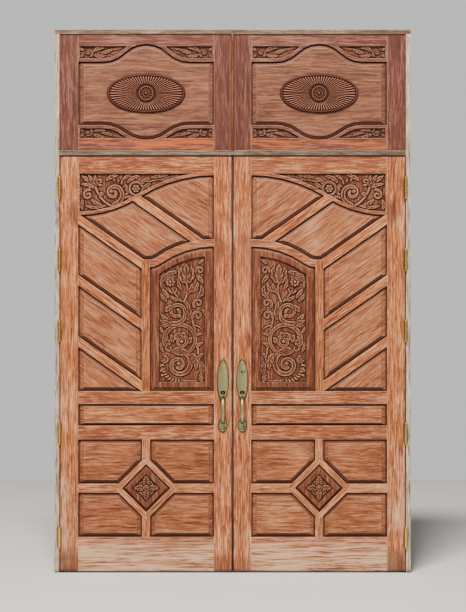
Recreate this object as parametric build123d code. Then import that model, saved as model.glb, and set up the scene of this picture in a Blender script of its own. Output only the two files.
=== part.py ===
from build123d import *
import os
from math import atan, ceil, cos, hypot, pi, radians, sin, sqrt, tan

os.makedirs("parts", exist_ok=True)

# The pair of leaves. Front faces lie on Y = 0 and look along -Y; floor level is Z = 0.
leaf_width = 914.0
leaf_height = 2200.0
leaf_thickness = 40.0
floor_gap = 10.0
meeting_gap = 3.0
jamb_gap = 3.0
head_gap = 4.0
stile_width = 97.0
bottom_rail_height = 180.0
lower_section_height = 517.0
belly_rail_height = 73.0
long_panel_height = 115.0
lock_rail_height = 68.0
top_rail_height = 94.0
post_width = 42.0

# The ogee under the carved top rail, from the hinge stile up to the meeting stile
crown_margin = 8.0
ogee_rise = 211.0
ogee_turn_share = 0.445

# Slanted bars fall from the hinge stile towards the centre post
bar_slope_deg = 34.9
bar_width = 45.0
bar_pitch_share = 0.348
post_centre = 358.0

# The arched rail over the tall carved panel
arch_drop = 378.0
arch_rise = 109.0
arch_depth = 39.0
arch_turn_share = 0.17
arch_stub_shoulder = 7.0

# The diamond between the two lower rails
diamond_reach = 128.0
diamond_bar_width = 29.0
side_bar_height = 47.0

# Curves are cut as flats that leave them by no more than this
facet_sag = 1.5

# Grooves, tongues and tenons share one thickness
groove_width = 10.0
groove_depth = 8.0
tongue_clearance = 0.3
tongue_end_clearance = 1.0
tenon_length = 45.0
tenon_shoulder = 14.0

# Raised and fielded panels
bevel_at_stile = 30.0
bevel_at_rail = 21.0
bevel_low_panel = 15.0
panel_shadow = 10.0
bevel_height = 6.0
field_step = 3.0

# Carved fields
carved_bevel = 20.0
carved_border = 28.0
carving_depth = 8.0
relief_proud = 1.0
relief_root = 0.5
spandrel_band = 16.0
spandrel_margin = 8.0
spandrel_fit = 0.2
board_seat = 12.0
diamond_field_reach = 76.0

# The fixed panels over the leaves
over_height = 611.0
over_thickness = 37.0
over_recess = 4.0
over_gap = 2.0
over_side_low = 131.0
over_side_drop = 143.0
over_crown_low = 52.0
over_crown_drop = 48.0
over_flat_run = 130.0
over_spandrel_low = 62.0
over_spandrel_drop = 61.0
over_shoulder = 8.0
medallion_across = 412.0
medallion_tall = 202.0
medallion_rim = 10.0
medallion_base = 4.0
medallion_proud = 9.0
ridge_drop = 2.0
hub_across = 82.0
rib_count = 32

# The frame
jamb_face = 25.0
frame_depth = 100.0
stop_overlap = 12.0
stop_clearance = 1.5
transom_face = 26.0
head_face = 25.0
mullion_face = 25.0
bead_width = 18.0
bead_shoulder = 5.0
corner_tenon = (20.0, 24.0, 15.0)
bar_tenon_shoulder = 3.0
fixing_radius = 4.0
fixing_low = 450.0
fixing_pitch = 1600.0

# Hinges, five to a leaf, each centred at its share of the leaf's height
hinge_shares = (0.08, 0.33, 0.578, 0.749, 0.923)
hinge_length = 102.0
knuckle_count = 3
knuckle_gap = 0.4
barrel_radius = 6.0
barrel_stand_off = 0.5
barrel_sides = 8
pin_radius = 3.0
pin_clearance = 0.3
plate_thickness = 2.5
plate_reach = 32.0
plate_fit = 0.2
tip_length = 9.0
tip_taper = 22.0

# Handles and locks, centred on the meeting stiles and placed from the plate's top over the lock rail
handle_set_in = 49.5
plate_rise = 160.0
cylinder_drop = 57.0
thumb_drop = 168.0
grip_drop = 30.0
grip_height = 126.0
latch_lift = 30.0
case_drop = 70.0
plate_length = 204.0
plate_width = 56.0
handle_plate_depth = 3.0
thumb_slot = (26.0, 17.0)
thumb_side_clearance = 0.3
thumb_proud = 38.0
thumb_thickness = 4.0
thumb_tail = 9.0
thumb_pocket_depth = 20.0
thumb_pivot_depth = 2.0
trunnion_radius = 1.6
trunnion_reach = 4.0
trunnion_room = 0.4
grip_proud = 46.0
grip_width = 17.0
grip_depth = 10.0
grip_steps = 7
foot_length = 67.0
foot_width = 41.0
collar_radius = 12.0
collar_depth = 6.0
plug_radius = 7.0
plug_clearance = 0.3
plug_room = 1.0
plug_length = 14.0
round_sides = 12
bore_sides = 8
case_height = 190.0
case_depth = 66.0
case_thickness = 18.0
case_fit = 0.5
latch_size = (46.0, 12.0, 20.0)
latch_reach = 11.0
deadbolt_size = (44.0, 12.0, 32.0)
deadbolt_throw = 20.0
bolt_fit = 0.5
pocket_room = 5.0
strike_thickness = 2.0
strike_size = (22.0, 150.0)
inside_plate_depth = 3.0
knob_radius = 25.0
knob_neck = 9.0
knob_reach = 55.0
running_gap = 0.3
spindle_radius = 4.0
spindle_room = 0.6
turn_radius = 14.0
turn_reach = 22.0
turn_base_depth = 5.0
turn_wing_thickness = 6.0
barrel_bolt_width = 12.0
barrel_bolt_length = 260.0
barrel_bolt_throw = 26.0
barrel_bolt_rest = 6.0
socket_room = 4.0
bracket_width = 44.0
bracket_length = 200.0
bracket_depth = 2.5
bracket_inset = 40.0
loop_width = 24.0
loop_height = 16.0
loop_inset = 12.0
loop_wall = 4.0
pull_size = (8.0, 16.0, 10.0)

# Derived places in the front elevation
opening_width = leaf_width - 2 * stile_width
leaf_edge = -meeting_gap / 2 - leaf_width
leaf_corner = (leaf_edge + stile_width, floor_gap)
jamb_line = leaf_edge - jamb_gap
jamb_outer = jamb_line - jamb_face
stop_edge = leaf_edge + stop_overlap
stop_front = leaf_thickness + stop_clearance
belly_low = bottom_rail_height + lower_section_height
long_low = belly_low + belly_rail_height
lock_low = long_low + long_panel_height
upper_low = lock_low + lock_rail_height
top_low = leaf_height - top_rail_height
ogee_high = top_low - crown_margin
ogee_low = ogee_high - ogee_rise
transom_low = floor_gap + leaf_height + head_gap
over_low = transom_low + transom_face + over_gap
over_corner = (leaf_corner[0], over_low)
over_side_high = over_height - over_side_drop
over_crown_high = over_height - over_crown_drop
over_spandrel_high = over_height - over_spandrel_drop
head_line = over_low + over_height + over_gap
frame_top = head_line + head_face
post_left = post_centre - post_width / 2
post_right = post_centre + post_width / 2
tongue_reach = groove_depth - tongue_end_clearance
bar_slope = tan(radians(bar_slope_deg))
bar_rise = bar_width / cos(radians(bar_slope_deg))
bar_pitch = bar_pitch_share * (ogee_low - upper_low)
bar_feet = [upper_low + bar_slope * post_left + bar_pitch * n for n in range(4)]
arch_high = ogee_high - arch_drop
arch_low = arch_high - arch_rise
diamond_outer_reach = diamond_reach + diamond_bar_width * 2**0.5
field_depth = panel_shadow - bevel_height - field_step
handle_x = -handle_set_in - meeting_gap / 2
plate_top = floor_gap + upper_low + plate_rise
thumb_height = plate_top - thumb_drop
cylinder_height = plate_top - cylinder_drop
latch_height = thumb_height + latch_lift
case_low = latch_height - case_drop
grip_top = thumb_height - grip_drop
grip_bottom = grip_top - grip_height
far = 5000.0


def elevation(corner, depth):
    """The front elevation's drawing plane at one depth, with its corner on the object."""
    return Plane(origin=(corner[0], depth, corner[1]), x_dir=(1, 0, 0), z_dir=(0, -1, 0))


def slab(drawing, corner, back, front):
    """What a drawing in the elevation encloses, between two depths."""
    return extrude(elevation(corner, back) * drawing, amount=back - front, dir=(0, -1, 0))


def box(x0, x1, y0, y1, z0, z1):
    return Pos((x0 + x1) / 2, (y0 + y1) / 2, (z0 + z1) / 2) * Box(x1 - x0, y1 - y0, z1 - z0)


def roomy(pair, room):
    return pair[0] - room, pair[1] + room


def rectangle(u0, u1, v0, v1):
    return Polygon((u0, v0), (u1, v0), (u1, v1), (u0, v1))


def flats(arc):
    """Straight lines along an arc, as few as its largest error allows."""
    count = ceil(arc.length / sqrt(8 * arc.radius * facet_sag))
    points = [arc @ (n / count) for n in range(count + 1)]
    return [Line(start, end) for start, end in zip(points, points[1:])]


def ogee(start, end, turn_share, grown=0.0):
    """Two tangent arcs between level ends, shifted by grown along their upward normals."""
    run, rise = end[0] - start[0], end[1] - start[1]
    angle = 2 * atan(rise / run)
    turn = Vector(start[0] + turn_share * run, start[1] + turn_share * rise)
    turn += Vector(-sin(angle), cos(angle)) * grown
    first = TangentArc((start[0], start[1] + grown), turn, tangent=(1, 0))
    second = TangentArc(turn, (end[0], end[1] + grown), tangent=first % 1)
    return flats(first) + flats(second)


def region_below(curve, floor):
    """The face under a curve that runs from left to right."""
    points = [curve[0] @ 0] + [line @ 1 for line in curve]
    corners = [(point.X, point.Y) for point in points]
    return Polygon((corners[0][0], floor), (corners[-1][0], floor), *corners[::-1])


def grow(face, amount):
    return offset(face, amount=amount, kind=Kind.INTERSECTION)


def groove_span(front, clearance=0.0):
    """The depths between which a groove, or what sits in it with its clearance, lies."""
    return front + panel_shadow + groove_width - clearance, front + panel_shadow + clearance


def outline_points(face):
    """The corners of a drawn face, in order, anticlockwise."""
    points = [edge @ 0 for edge in face.faces()[0].outer_wire().order_edges()]
    turning = sum(a.X * b.Y - b.X * a.Y for a, b in zip(points, points[1:] + points[:1]))
    return points if turning > 0 else points[::-1]


def crossing(line, other):
    """Where two lines meet, each given as a point and a direction."""
    (start, along), (beyond, onward) = line, other
    gap = beyond - start
    reach = (gap.X * onward.Y - gap.Y * onward.X) / (along.X * onward.Y - along.Y * onward.X)
    return start + along * reach


def moved_in(points, upright, level):
    """An outline with its upright edges moved inwards by one amount and the others by another."""
    lines = []
    for start, end in zip(points, points[1:] + points[:1]):
        along = (end - start).normalized()
        inward = Vector(-along.Y, along.X)
        lines.append((start + inward * (upright if abs(along.X) < 0.05 else level), along))
    corners = [crossing(lines[n - 1], lines[n]) for n in range(len(lines))]
    for n in range(len(lines)):
        ahead = (n + 1) % len(lines)
        # A short edge that would turn round shrinks to where its neighbours meet
        if (corners[ahead] - corners[n]).dot(lines[n][1]) < 0:
            corners[n] = corners[ahead] = crossing(lines[n - 1], lines[ahead])
    return corners


def twisted(first, second, third, fourth):
    """Whether four corners lie off one plane by more than a face can."""
    normal = (second - first).cross(third - first).normalized()
    return abs((fourth - first).dot(normal)) > 0.0001


def stacked(rings, corner):
    """A closed solid through like outlines, each at its own depth."""
    wires = []
    for points, depth in rings:
        wires.append([Vector(corner[0] + p.X, depth, corner[1] + p.Y) for p in points])
    drawn = [wires[0], wires[-1]]
    for ring, further in zip(wires, wires[1:]):
        for n in range(len(ring)):
            drawn.append([ring[n - 1], ring[n], further[n], further[n - 1]])
    faces = []
    for corners in drawn:
        distinct = [point for n, point in enumerate(corners) if (point - corners[n - 1]).length > 0.01]
        if len(distinct) == 4 and twisted(*distinct):
            halves = (distinct[:3], distinct[2:] + distinct[:1])
            faces += [Face(Wire.make_polygon(half)) for half in halves]
        elif len(distinct) > 2:
            faces.append(Face(Wire.make_polygon(distinct)))
    return Solid(Shell(faces))


def raised_panel(face, corner, front, widths):
    """A panel whose raised field slopes down to thin edges that sit in the frame's groove."""
    points = outline_points(face)
    edge = moved_in(points, -tongue_reach, -tongue_reach)
    field = moved_in(points, *widths)
    back, lip = groove_span(front, tongue_clearance)
    slope_head = front + field_depth + field_step
    narrow = min(widths)
    slope_foot = (lip * (narrow + tongue_reach) - slope_head * tongue_reach) / narrow
    rings = [(edge, back), (edge, slope_foot), (field, slope_head), (field, front + field_depth)]
    return stacked(rings, corner)


def panel_groove(face, corner, front):
    return slab(grow(face, groove_depth), corner, *groove_span(front))


def near(one, other):
    a, b = one.bounding_box(), other.bounding_box()
    return not (a.min.X > b.max.X or b.min.X > a.max.X or a.min.Z > b.max.Z or b.min.Z > a.max.Z)


def cut(piece, voids):
    for void in voids:
        if near(piece, void):
            piece -= void
    return piece


def member(body, tenons, voids, corner=leaf_corner, front=0.0, thickness=leaf_thickness):
    """A bar of a panelled frame: its face, its tenons and the grooves cut in it."""
    piece = slab(body, corner, front + thickness, front)
    if tenons is not None:
        piece += slab(tenons, corner, *groove_span(front, tongue_clearance))
    return cut(piece, voids)


def save(name, *pieces):
    solids = [solid for piece in pieces for solid in piece.solids()]
    export_step(Compound(children=solids), f"parts/{name}.step")


def mirrored(piece):
    return mirror(piece, about=Plane.YZ)


def both_hands(name, *pieces):
    """Writes the left leaf's piece and its mirror image on the right leaf."""
    save(f"left_{name}", *pieces)
    save(f"right_{name}", *[mirrored(piece) for piece in pieces])


# Carving: few-faced scrolls, leaves and flowers. Each is a list of points on its drawing, and the
# drawing is stretched onto the field that it is carved in
def scroll(centre, start, turns, outer, inner, band, hand=1, sides=7):
    """A band that winds inwards; angles in degrees, anticlockwise for hand 1."""
    steps = round(turns * sides)
    rim, back = [], []
    for n in range(steps + 1):
        share = n / steps
        angle = radians(start) + hand * 2 * pi * turns * share
        radius = outer * (inner / outer) ** share
        inside = radius - band * (1 - 0.35 * share)
        rim.append((centre[0] + radius * cos(angle), centre[1] + radius * sin(angle)))
        back.append((centre[0] + inside * cos(angle), centre[1] + inside * sin(angle)))
    return rim + back[::-1]


def leaf(base, tip, width):
    """A pointed leaf, widest just short of the middle."""
    run = (tip[0] - base[0], tip[1] - base[1])
    half = width / 2 / hypot(*run)
    middle = (base[0] + 0.45 * run[0], base[1] + 0.45 * run[1])
    right = (middle[0] + run[1] * half, middle[1] - run[0] * half)
    left = (middle[0] - run[1] * half, middle[1] + run[0] * half)
    return [base, right, tip, left]


def rosette(centre, radius, petals):
    """A flower seen from the front: notched between its petals."""
    points = []
    for n in range(2 * petals):
        reach = radius * (0.55, 1.0)[n % 2]
        angle = pi * n / petals
        points.append((centre[0] + reach * cos(angle), centre[1] + reach * sin(angle)))
    return points


def stem(points, width):
    """A tapering stalk along a few points."""
    left, right = [], []
    last = len(points) - 1
    for n, (x, y) in enumerate(points):
        ahead, behind = points[min(n + 1, last)], points[max(n - 1, 0)]
        run = (ahead[0] - behind[0], ahead[1] - behind[1])
        half = width * (1 - 0.5 * n / last) / 2 / hypot(*run)
        left.append((x - run[1] * half, y + run[0] * half))
        right.append((x + run[1] * half, y - run[0] * half))
    return left + right[::-1]


def drawn_on(field, drawing, shapes):
    """Outlines from a drawing of one size, on a field of another."""
    box_of_field = field.bounding_box()
    low, size = box_of_field.min, box_of_field.size
    across, up = size.X / drawing[0], size.Y / drawing[1]
    return [[(low.X + across * u, low.Y + up * v) for u, v in shape] for shape in shapes]


def relief(shapes, field, corner, ground, crest):
    """Carved shapes joined into one drawing, kept inside their field and raised."""
    drawing = Polygon(*shapes[0])
    for shape in shapes[1:]:
        drawing += Polygon(*shape)
    return slab(drawing & (Sketch() + field), corner, ground + relief_root, crest)


tall_drawing = (245.0, 667.0)
tall_shapes = [
    scroll((111, 101), 60, 1.3, 97, 26, 22, hand=-1),
    scroll((113, 215), 200, 1.2, 90, 24, 20, hand=-1),
    scroll((109, 351), -60, 1.2, 66, 18, 16, hand=1, sides=6),
    scroll((221, 404), 200, 0.8, 31, 12, 9, hand=-1, sides=5),
    scroll((219, 349), 200, 0.8, 31, 12, 9, hand=-1, sides=5),
    stem([(225, -11), (201, 159), (189, 299)], 15),
    stem([(133, 295), (155, 399), (147, 529)], 12),
    leaf((139, 519), (121, 591), 22),
    leaf((155, 519), (179, 595), 22),
    rosette((68, 523), 27, 5),
    leaf((53, 399), (15, 449), 18),
    leaf((43, 309), (7, 331), 18),
    leaf((213, 439), (229, 559), 20),
    leaf((35, 109), (13, 29), 22),
    leaf((57, 169), (17, 179), 24),
]
spandrel_drawing = (608.0, 202.4)
spandrel_shapes = [
    scroll((188, 104), 100, 1.3, 62, 18, 16, hand=-1, sides=6),
    scroll((60, 80), 90, 0.9, 32, 12, 11, hand=1, sides=5),
    rosette((292, 122), 24, 5),
    leaf((92, 126), (18, 182), 26),
    leaf((142, 66), (52, 24), 30),
    leaf((254, 142), (412, 182), 28),
    leaf((392, 184), (512, 190), 14),
]


def quarter_leaves(centre, reach):
    """A boss with four leaves that point to the corners of a diamond."""
    shapes = [rosette(centre, reach * 0.24, 4)]
    for n in range(4):
        along = (reach * cos(n * pi / 2), reach * sin(n * pi / 2))
        base = (centre[0] + 0.16 * along[0], centre[1] + 0.16 * along[1])
        tip = (centre[0] + 0.86 * along[0], centre[1] + 0.86 * along[1])
        shapes.append(leaf(base, tip, reach * 0.42))
    return shapes


def over_spandrel(field, rising):
    """A rosette near the corner with a leaf that tapers away from it, and up or down with the curve."""
    box_of_field = field.bounding_box()
    low, size = box_of_field.min, box_of_field.size

    def at(across, up):
        return low.X + size.X * across, low.Y + size.Y * (up if rising else 1 - up)

    return [rosette(at(0.12, 0.5), size.Y * 0.38, 5), leaf(at(0.24, 0.46), at(0.69, 0.86), size.Y * 0.36)]


# The leaf's openings, drawn from the hinge stile's inner edge and the leaf's bottom
ogee_line = ogee((0, ogee_low), (opening_width, ogee_high), ogee_turn_share)
arch_ends = (post_right, arch_low), (opening_width, arch_high)
upper_opening = region_below(ogee_line, upper_low)
carved_opening = region_below(ogee(*arch_ends, arch_turn_share), upper_low)
arch_block = region_below(ogee(*arch_ends, arch_turn_share, arch_depth), upper_low)
arch_face = (arch_block - carved_opening).faces().sort_by(Axis.Y)[-1]
post_face = rectangle(post_left, post_right, upper_low, arch_low + arch_depth)
long_face = rectangle(0, opening_width, long_low, lock_low)


def bar_strip(foot, start, end):
    lower = [(start, foot - bar_slope * start), (end, foot - bar_slope * end)]
    upper = [(u, v + bar_rise) for u, v in reversed(lower)]
    return Polygon(*lower, *upper)


bar_ends = (post_left, post_left, post_right, opening_width)
bar_faces = []
for foot, end in zip(bar_feet, bar_ends):
    bar_faces.append((bar_strip(foot, 0, end) & upper_opening) - post_face - arch_block)
drawn_members = post_face + arch_block
for strip in bar_faces:
    drawn_members += strip
upper_faces = (upper_opening - drawn_members).faces().sort_by(Axis.Y)

diamond_centre = (opening_width / 2, bottom_rail_height + lower_section_height / 2)
cx, cy = diamond_centre


def diamond(reach):
    return Polygon((cx + reach, cy), (cx, cy + reach), (cx - reach, cy), (cx, cy - reach))


diamond_outer = diamond(diamond_outer_reach)
side_strip = rectangle(-far, far, cy - side_bar_height / 2, cy + side_bar_height / 2)
post_strip = rectangle(cx - post_width / 2, cx + post_width / 2, -far, far)
lower_opening = rectangle(0, opening_width, bottom_rail_height, belly_low)
corner_faces = (lower_opening - diamond_outer - side_strip - post_strip).faces()
diamond_face = diamond(diamond_reach)

# Panels of the leaf
leaf_place = (leaf_corner, 0.0)
plain_widths = (bevel_at_stile, bevel_at_rail)
carved_widths = (carved_bevel, carved_bevel)
# The tips of pointed panels are cut off where they would pass the stiles' grooves
within_grooves = rectangle(-tongue_reach, opening_width + tongue_reach, 0, leaf_height)
within_grooves = slab(within_grooves, leaf_corner, leaf_thickness, 0)
upper_panels = [raised_panel(face, *leaf_place, plain_widths) for face in upper_faces]
both_hands("upper_panels", *[panel & within_grooves for panel in upper_panels])
both_hands("corner_panels", *[raised_panel(face, *leaf_place, plain_widths) for face in corner_faces])
both_hands("long_panel", raised_panel(long_face, *leaf_place, (bevel_at_stile, bevel_low_panel)))

carved_ground = field_depth + carving_depth
carved_crest = field_depth + relief_proud


def carved_panel(face, field, shapes):
    """A raised panel with a sunk field, and the carving that stands in it."""
    panel = raised_panel(face, *leaf_place, carved_widths)
    panel -= slab(field, leaf_corner, carved_ground, -far)
    return panel + relief(shapes, field, leaf_corner, carved_ground, carved_crest)


tall_face = carved_opening.faces()[0]
tall_field = grow(tall_face, -carved_bevel - carved_border)
tall_carving = drawn_on(tall_field, tall_drawing, tall_shapes)
both_hands("carved_panel", carved_panel(tall_face, tall_field, tall_carving))
small_field = diamond(diamond_field_reach)
small_shapes = quarter_leaves(diamond_centre, diamond_field_reach)
both_hands("carved_diamond", carved_panel(diamond_face, small_field, small_shapes))

# Frame members of the leaf
upper_grooves = [panel_groove(face, *leaf_place) for face in upper_faces]
tall_groove = panel_groove(tall_face, *leaf_place)
corner_grooves = [panel_groove(face, *leaf_place) for face in corner_faces]
diamond_groove = panel_groove(diamond_face, *leaf_place)


def rail_tenons(low, high):
    """A haunch along the groove and the long tenon beyond it, at both ends of a rail."""
    haunch = rectangle(-tongue_reach, opening_width + tongue_reach, low, high)
    long_ends = (-tenon_length, opening_width + tenon_length)
    return haunch + rectangle(*long_ends, low + tenon_shoulder, high - tenon_shoulder)


def mortise(low, high, shoulder, place):
    """The room that a rail's two long tenons need, drawn as one bar across the opening."""
    reach = tenon_length + tongue_end_clearance
    heights = (low + shoulder - tongue_clearance, high - shoulder + tongue_clearance)
    return slab(rectangle(-reach, opening_width + reach, *heights), place[0], *groove_span(place[1]))


rails = []
rail_places = [(0, bottom_rail_height), (belly_low, long_low), (lock_low, upper_low)]
groove_ends = (-groove_depth, opening_width + groove_depth)
for low, high in rail_places:
    edges = [rectangle(*groove_ends, high - groove_depth, high + 1)]
    if low > 0:
        edges.append(rectangle(*groove_ends, low - 1, low + groove_depth))
    channels = [slab(edge, leaf_corner, *groove_span(0)) for edge in edges]
    body = rectangle(0, opening_width, low, high)
    rails.append(member(body, rail_tenons(low, high), channels))


def let_in_board(field, shapes, corner, front):
    """The recess in a rail's face, and the carved board that fills it."""
    seat = front + board_seat
    recess = slab(field, corner, seat, front - 1)
    inner = grow(field, -spandrel_fit)
    board = slab(inner, corner, seat, front + carving_depth)
    return recess, board + relief(shapes, inner, corner, front + carving_depth, front + relief_proud)


top_face = rectangle(0, opening_width, ogee_low, leaf_height) - upper_opening
band_line = ogee((0, ogee_low), (opening_width, ogee_high), ogee_turn_share, spandrel_band)
spandrel_room = rectangle(spandrel_margin, opening_width, ogee_low, top_low)
spandrel_field = (spandrel_room - region_below(band_line, 0)).faces().sort_by(Axis.X)[0]
spandrel_carving = drawn_on(spandrel_field, spandrel_drawing, spandrel_shapes)
recess, spandrel = let_in_board(spandrel_field, spandrel_carving, leaf_corner, 0)
both_hands("carved_spandrel", spandrel)
rails.append(member(top_face, rail_tenons(top_low, leaf_height), upper_grooves) - recess)

stub_heights = (arch_low + arch_stub_shoulder, arch_low + arch_depth - arch_stub_shoulder)
arch_stub = rectangle(post_right - tenon_shoulder, post_right, *stub_heights)
arch_end = rectangle(opening_width, opening_width + tongue_reach, arch_high, arch_high + arch_depth)
rails.append(member(arch_face, arch_stub + arch_end, upper_grooves + [tall_groove]))
stub_room = rectangle(post_right - tenon_shoulder - tongue_end_clearance, post_right + 1, *stub_heights)
post_pocket = slab(stub_room, leaf_corner, *groove_span(0))
post_tenon = rectangle(post_left, post_right, upper_low - tongue_reach, upper_low)
both_hands("centre_post", member(post_face, post_tenon, upper_grooves + [tall_groove, post_pocket]))

bars = []
for foot, face in zip(bar_feet, bar_faces):
    stub = bar_strip(foot, -tongue_reach, 0) & rectangle(-tongue_reach, 0, upper_low, ogee_low)
    bars.append(member(face, stub if stub.faces() else None, upper_grooves))
both_hands("slanted_bars", *bars)

lattice = []
for sx, sy in ((1, 1), (-1, 1), (-1, -1), (1, -1)):
    mitres = [(cx + sx * diamond_reach, cy), (cx + sx * diamond_outer_reach, cy)]
    mitres += [(cx, cy + sy * diamond_outer_reach), (cx, cy + sy * diamond_reach)]
    lattice.append(member(Polygon(*mitres), None, corner_grooves + [diamond_groove]))
groove_frame = rectangle(-tongue_reach, opening_width + tongue_reach, bottom_rail_height, belly_low)
groove_frame += rectangle(0, opening_width, bottom_rail_height - tongue_reach, belly_low + tongue_reach)
for strip in (side_strip, post_strip):
    arms = ((strip & lower_opening) - diamond_outer).faces()
    ends = ((strip & groove_frame) - lower_opening).faces()
    for arm in arms:
        end = [face for face in ends if face.distance_to(arm) < 0.01][0]
        lattice.append(member(arm, end, corner_grooves))
both_hands("diamond_lattice", *lattice)

# Hinges: a pin fast in the jamb's knuckles, and plates let in on the leaf's edge and the jamb
pivot = (leaf_edge - jamb_gap / 2, -barrel_radius - barrel_stand_off)
knuckle_height = (hinge_length - (knuckle_count - 1) * knuckle_gap) / knuckle_count


def on_pivot(section, low, high, taper=0.0):
    """An upright bar on the hinge's axis."""
    return extrude(Pos(pivot[0], pivot[1], low) * section, amount=high - low, dir=(0, 0, 1), taper=taper)


barrel = RegularPolygon(barrel_radius, barrel_sides)
pin = RegularPolygon(pin_radius, barrel_sides)
pin_bore = RegularPolygon(pin_radius + pin_clearance, barrel_sides)


def hinge_half(plate_x, foot, first_knuckle):
    """A plate and every second knuckle, counted from the first."""
    side = (plate_x, plate_x + plate_thickness)
    half = box(*side, 0, plate_reach, foot, foot + hinge_length)
    for number in range(first_knuckle, knuckle_count, 2):
        low = foot + number * (knuckle_height + knuckle_gap)
        half += on_pivot(barrel, low, low + knuckle_height)
        half += box(*side, pivot[1], 0, low, low + knuckle_height)
    return half


def hinge_pin(foot):
    """The pin with a tapered tip at each end of the barrel."""
    head = foot + hinge_length
    top_tip = on_pivot(barrel, head, head + tip_length, tip_taper)
    low_tip = mirror(top_tip, about=Plane.XY.offset(foot + hinge_length / 2))
    return on_pivot(pin, foot, head) + top_tip + low_tip


def plate_recess(plate_x, foot):
    ends = roomy((foot, foot + hinge_length), plate_fit)
    return box(plate_x, plate_x + plate_thickness, -1, plate_reach + plate_fit, *ends)


jamb_halves, leaf_halves = [], []
jamb_recesses, leaf_recesses = [], []
for share in hinge_shares:
    foot = floor_gap + share * leaf_height - hinge_length / 2
    jamb_halves.append(hinge_half(jamb_line - plate_thickness, foot, 0) + hinge_pin(foot))
    bore = on_pivot(pin_bore, foot - 1, foot + hinge_length + 1)
    leaf_halves.append(hinge_half(leaf_edge, foot, 1) - bore)
    jamb_recesses.append(plate_recess(jamb_line - plate_thickness, foot))
    leaf_recesses.append(plate_recess(leaf_edge, foot))
save("hinge_jamb_halves", *jamb_halves, *[mirrored(half) for half in jamb_halves])
both_hands("hinge_leaf_halves", *leaf_halves)

# Stiles of the leaves, with the room that the locks and the strike need
rail_places.append((top_low, leaf_height))
mortises = [mortise(*place, tenon_shoulder, leaf_place) for place in rail_places]
channels = [
    rectangle(-groove_depth, 0, 0, leaf_height),
    rectangle(opening_width, opening_width + groove_depth, 0, leaf_height),
]
mortises += [slab(channel, leaf_corner, *groove_span(0)) for channel in channels]
hinge_stile = member(rectangle(-stile_width, 0, 0, leaf_height), None, mortises + leaf_recesses)
both_hands("hinge_stile", hinge_stile)
meeting_face = rectangle(opening_width, opening_width + stile_width, 0, leaf_height)
slot_half = thumb_slot[0] / 2
slot_low, slot_high = thumb_height - thumb_slot[1] / 2, thumb_height + thumb_slot[1] / 2
slot_sides = (handle_x - slot_half, handle_x + slot_half)
thumb_pocket = box(*slot_sides, -1, thumb_pocket_depth, slot_low, slot_high)
trunnion_half = trunnion_radius + trunnion_room
trunnion_seat = box(
    *roomy(slot_sides, trunnion_reach + trunnion_room),
    *(-1, thumb_pivot_depth + trunnion_half),
    *roomy((thumb_height, thumb_height), trunnion_half),
)
meeting_stile = member(meeting_face, None, mortises) - thumb_pocket - trunnion_seat

leaf_middle = leaf_thickness / 2
lock_edge = meeting_gap / 2
bolt_back = lock_edge + case_depth
case_sides = (leaf_middle - case_thickness / 2, leaf_middle + case_thickness / 2)
case_top = case_low + case_height
lock_case = box(lock_edge, bolt_back, *case_sides, case_low, case_top)
latch_start = lock_edge - latch_reach
latch_depths = (leaf_middle - latch_size[1] / 2, leaf_middle + latch_size[1] / 2)
latch_heights = (latch_height - latch_size[2] / 2, latch_height + latch_size[2] / 2)
deadbolt_start = lock_edge + running_gap
deadbolt_depths = (leaf_middle - deadbolt_size[1] / 2, leaf_middle + deadbolt_size[1] / 2)
deadbolt_heights = (cylinder_height - deadbolt_size[2] / 2, cylinder_height + deadbolt_size[2] / 2)


latch_stop = latch_start + latch_size[0] + latch_reach + 1
lock_case -= box(0, latch_stop, *roomy(latch_depths, bolt_fit), *roomy(latch_heights, bolt_fit))
deadbolt_end = deadbolt_start + deadbolt_size[0]
lock_case -= box(
    0, deadbolt_end + 1, *roomy(deadbolt_depths, bolt_fit), *roomy(deadbolt_heights, bolt_fit)
)
save("lock_case", lock_case)

nose = [(latch_start, latch_depths[0]), (latch_start + latch_size[0], latch_depths[0])]
nose += [(latch_start + latch_size[0], latch_depths[1]), (latch_start + latch_reach, latch_depths[1])]
latch = extrude(Pos(0, 0, latch_heights[0]) * Polygon(*nose), amount=latch_size[2], dir=(0, 0, 1))
save("latch_bolt", latch)
save("deadbolt", box(deadbolt_start, deadbolt_end, *deadbolt_depths, *deadbolt_heights))

case_heights = roomy((case_low, case_top), case_fit)
case_room = box(0, bolt_back + case_fit, *roomy(case_sides, case_fit), *case_heights)
right_x = -handle_x


def through_leaf(section, height, front, back):
    """A bar through the active leaf, behind its handle."""
    return slab(section, (right_x, height), back, front)


def bore_round(radius):
    """A many-sided hole that a round bar of this radius just passes."""
    return RegularPolygon(radius, bore_sides, major_radius=False)


spindle_bore = bore_round(spindle_radius + spindle_room)
right_meeting = mirrored(meeting_stile) - case_room
for height in (latch_height, cylinder_height):
    right_meeting -= through_leaf(spindle_bore, height, leaf_middle, leaf_thickness + 1)
plug_bore = bore_round(plug_radius + plug_room)
right_meeting -= through_leaf(plug_bore, cylinder_height, -1, case_sides[0] + 1)
save("right_meeting_stile", right_meeting)
save("left_rails", *rails)
save("right_rails", *[cut(mirrored(rail), [case_room]) for rail in rails])

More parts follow.
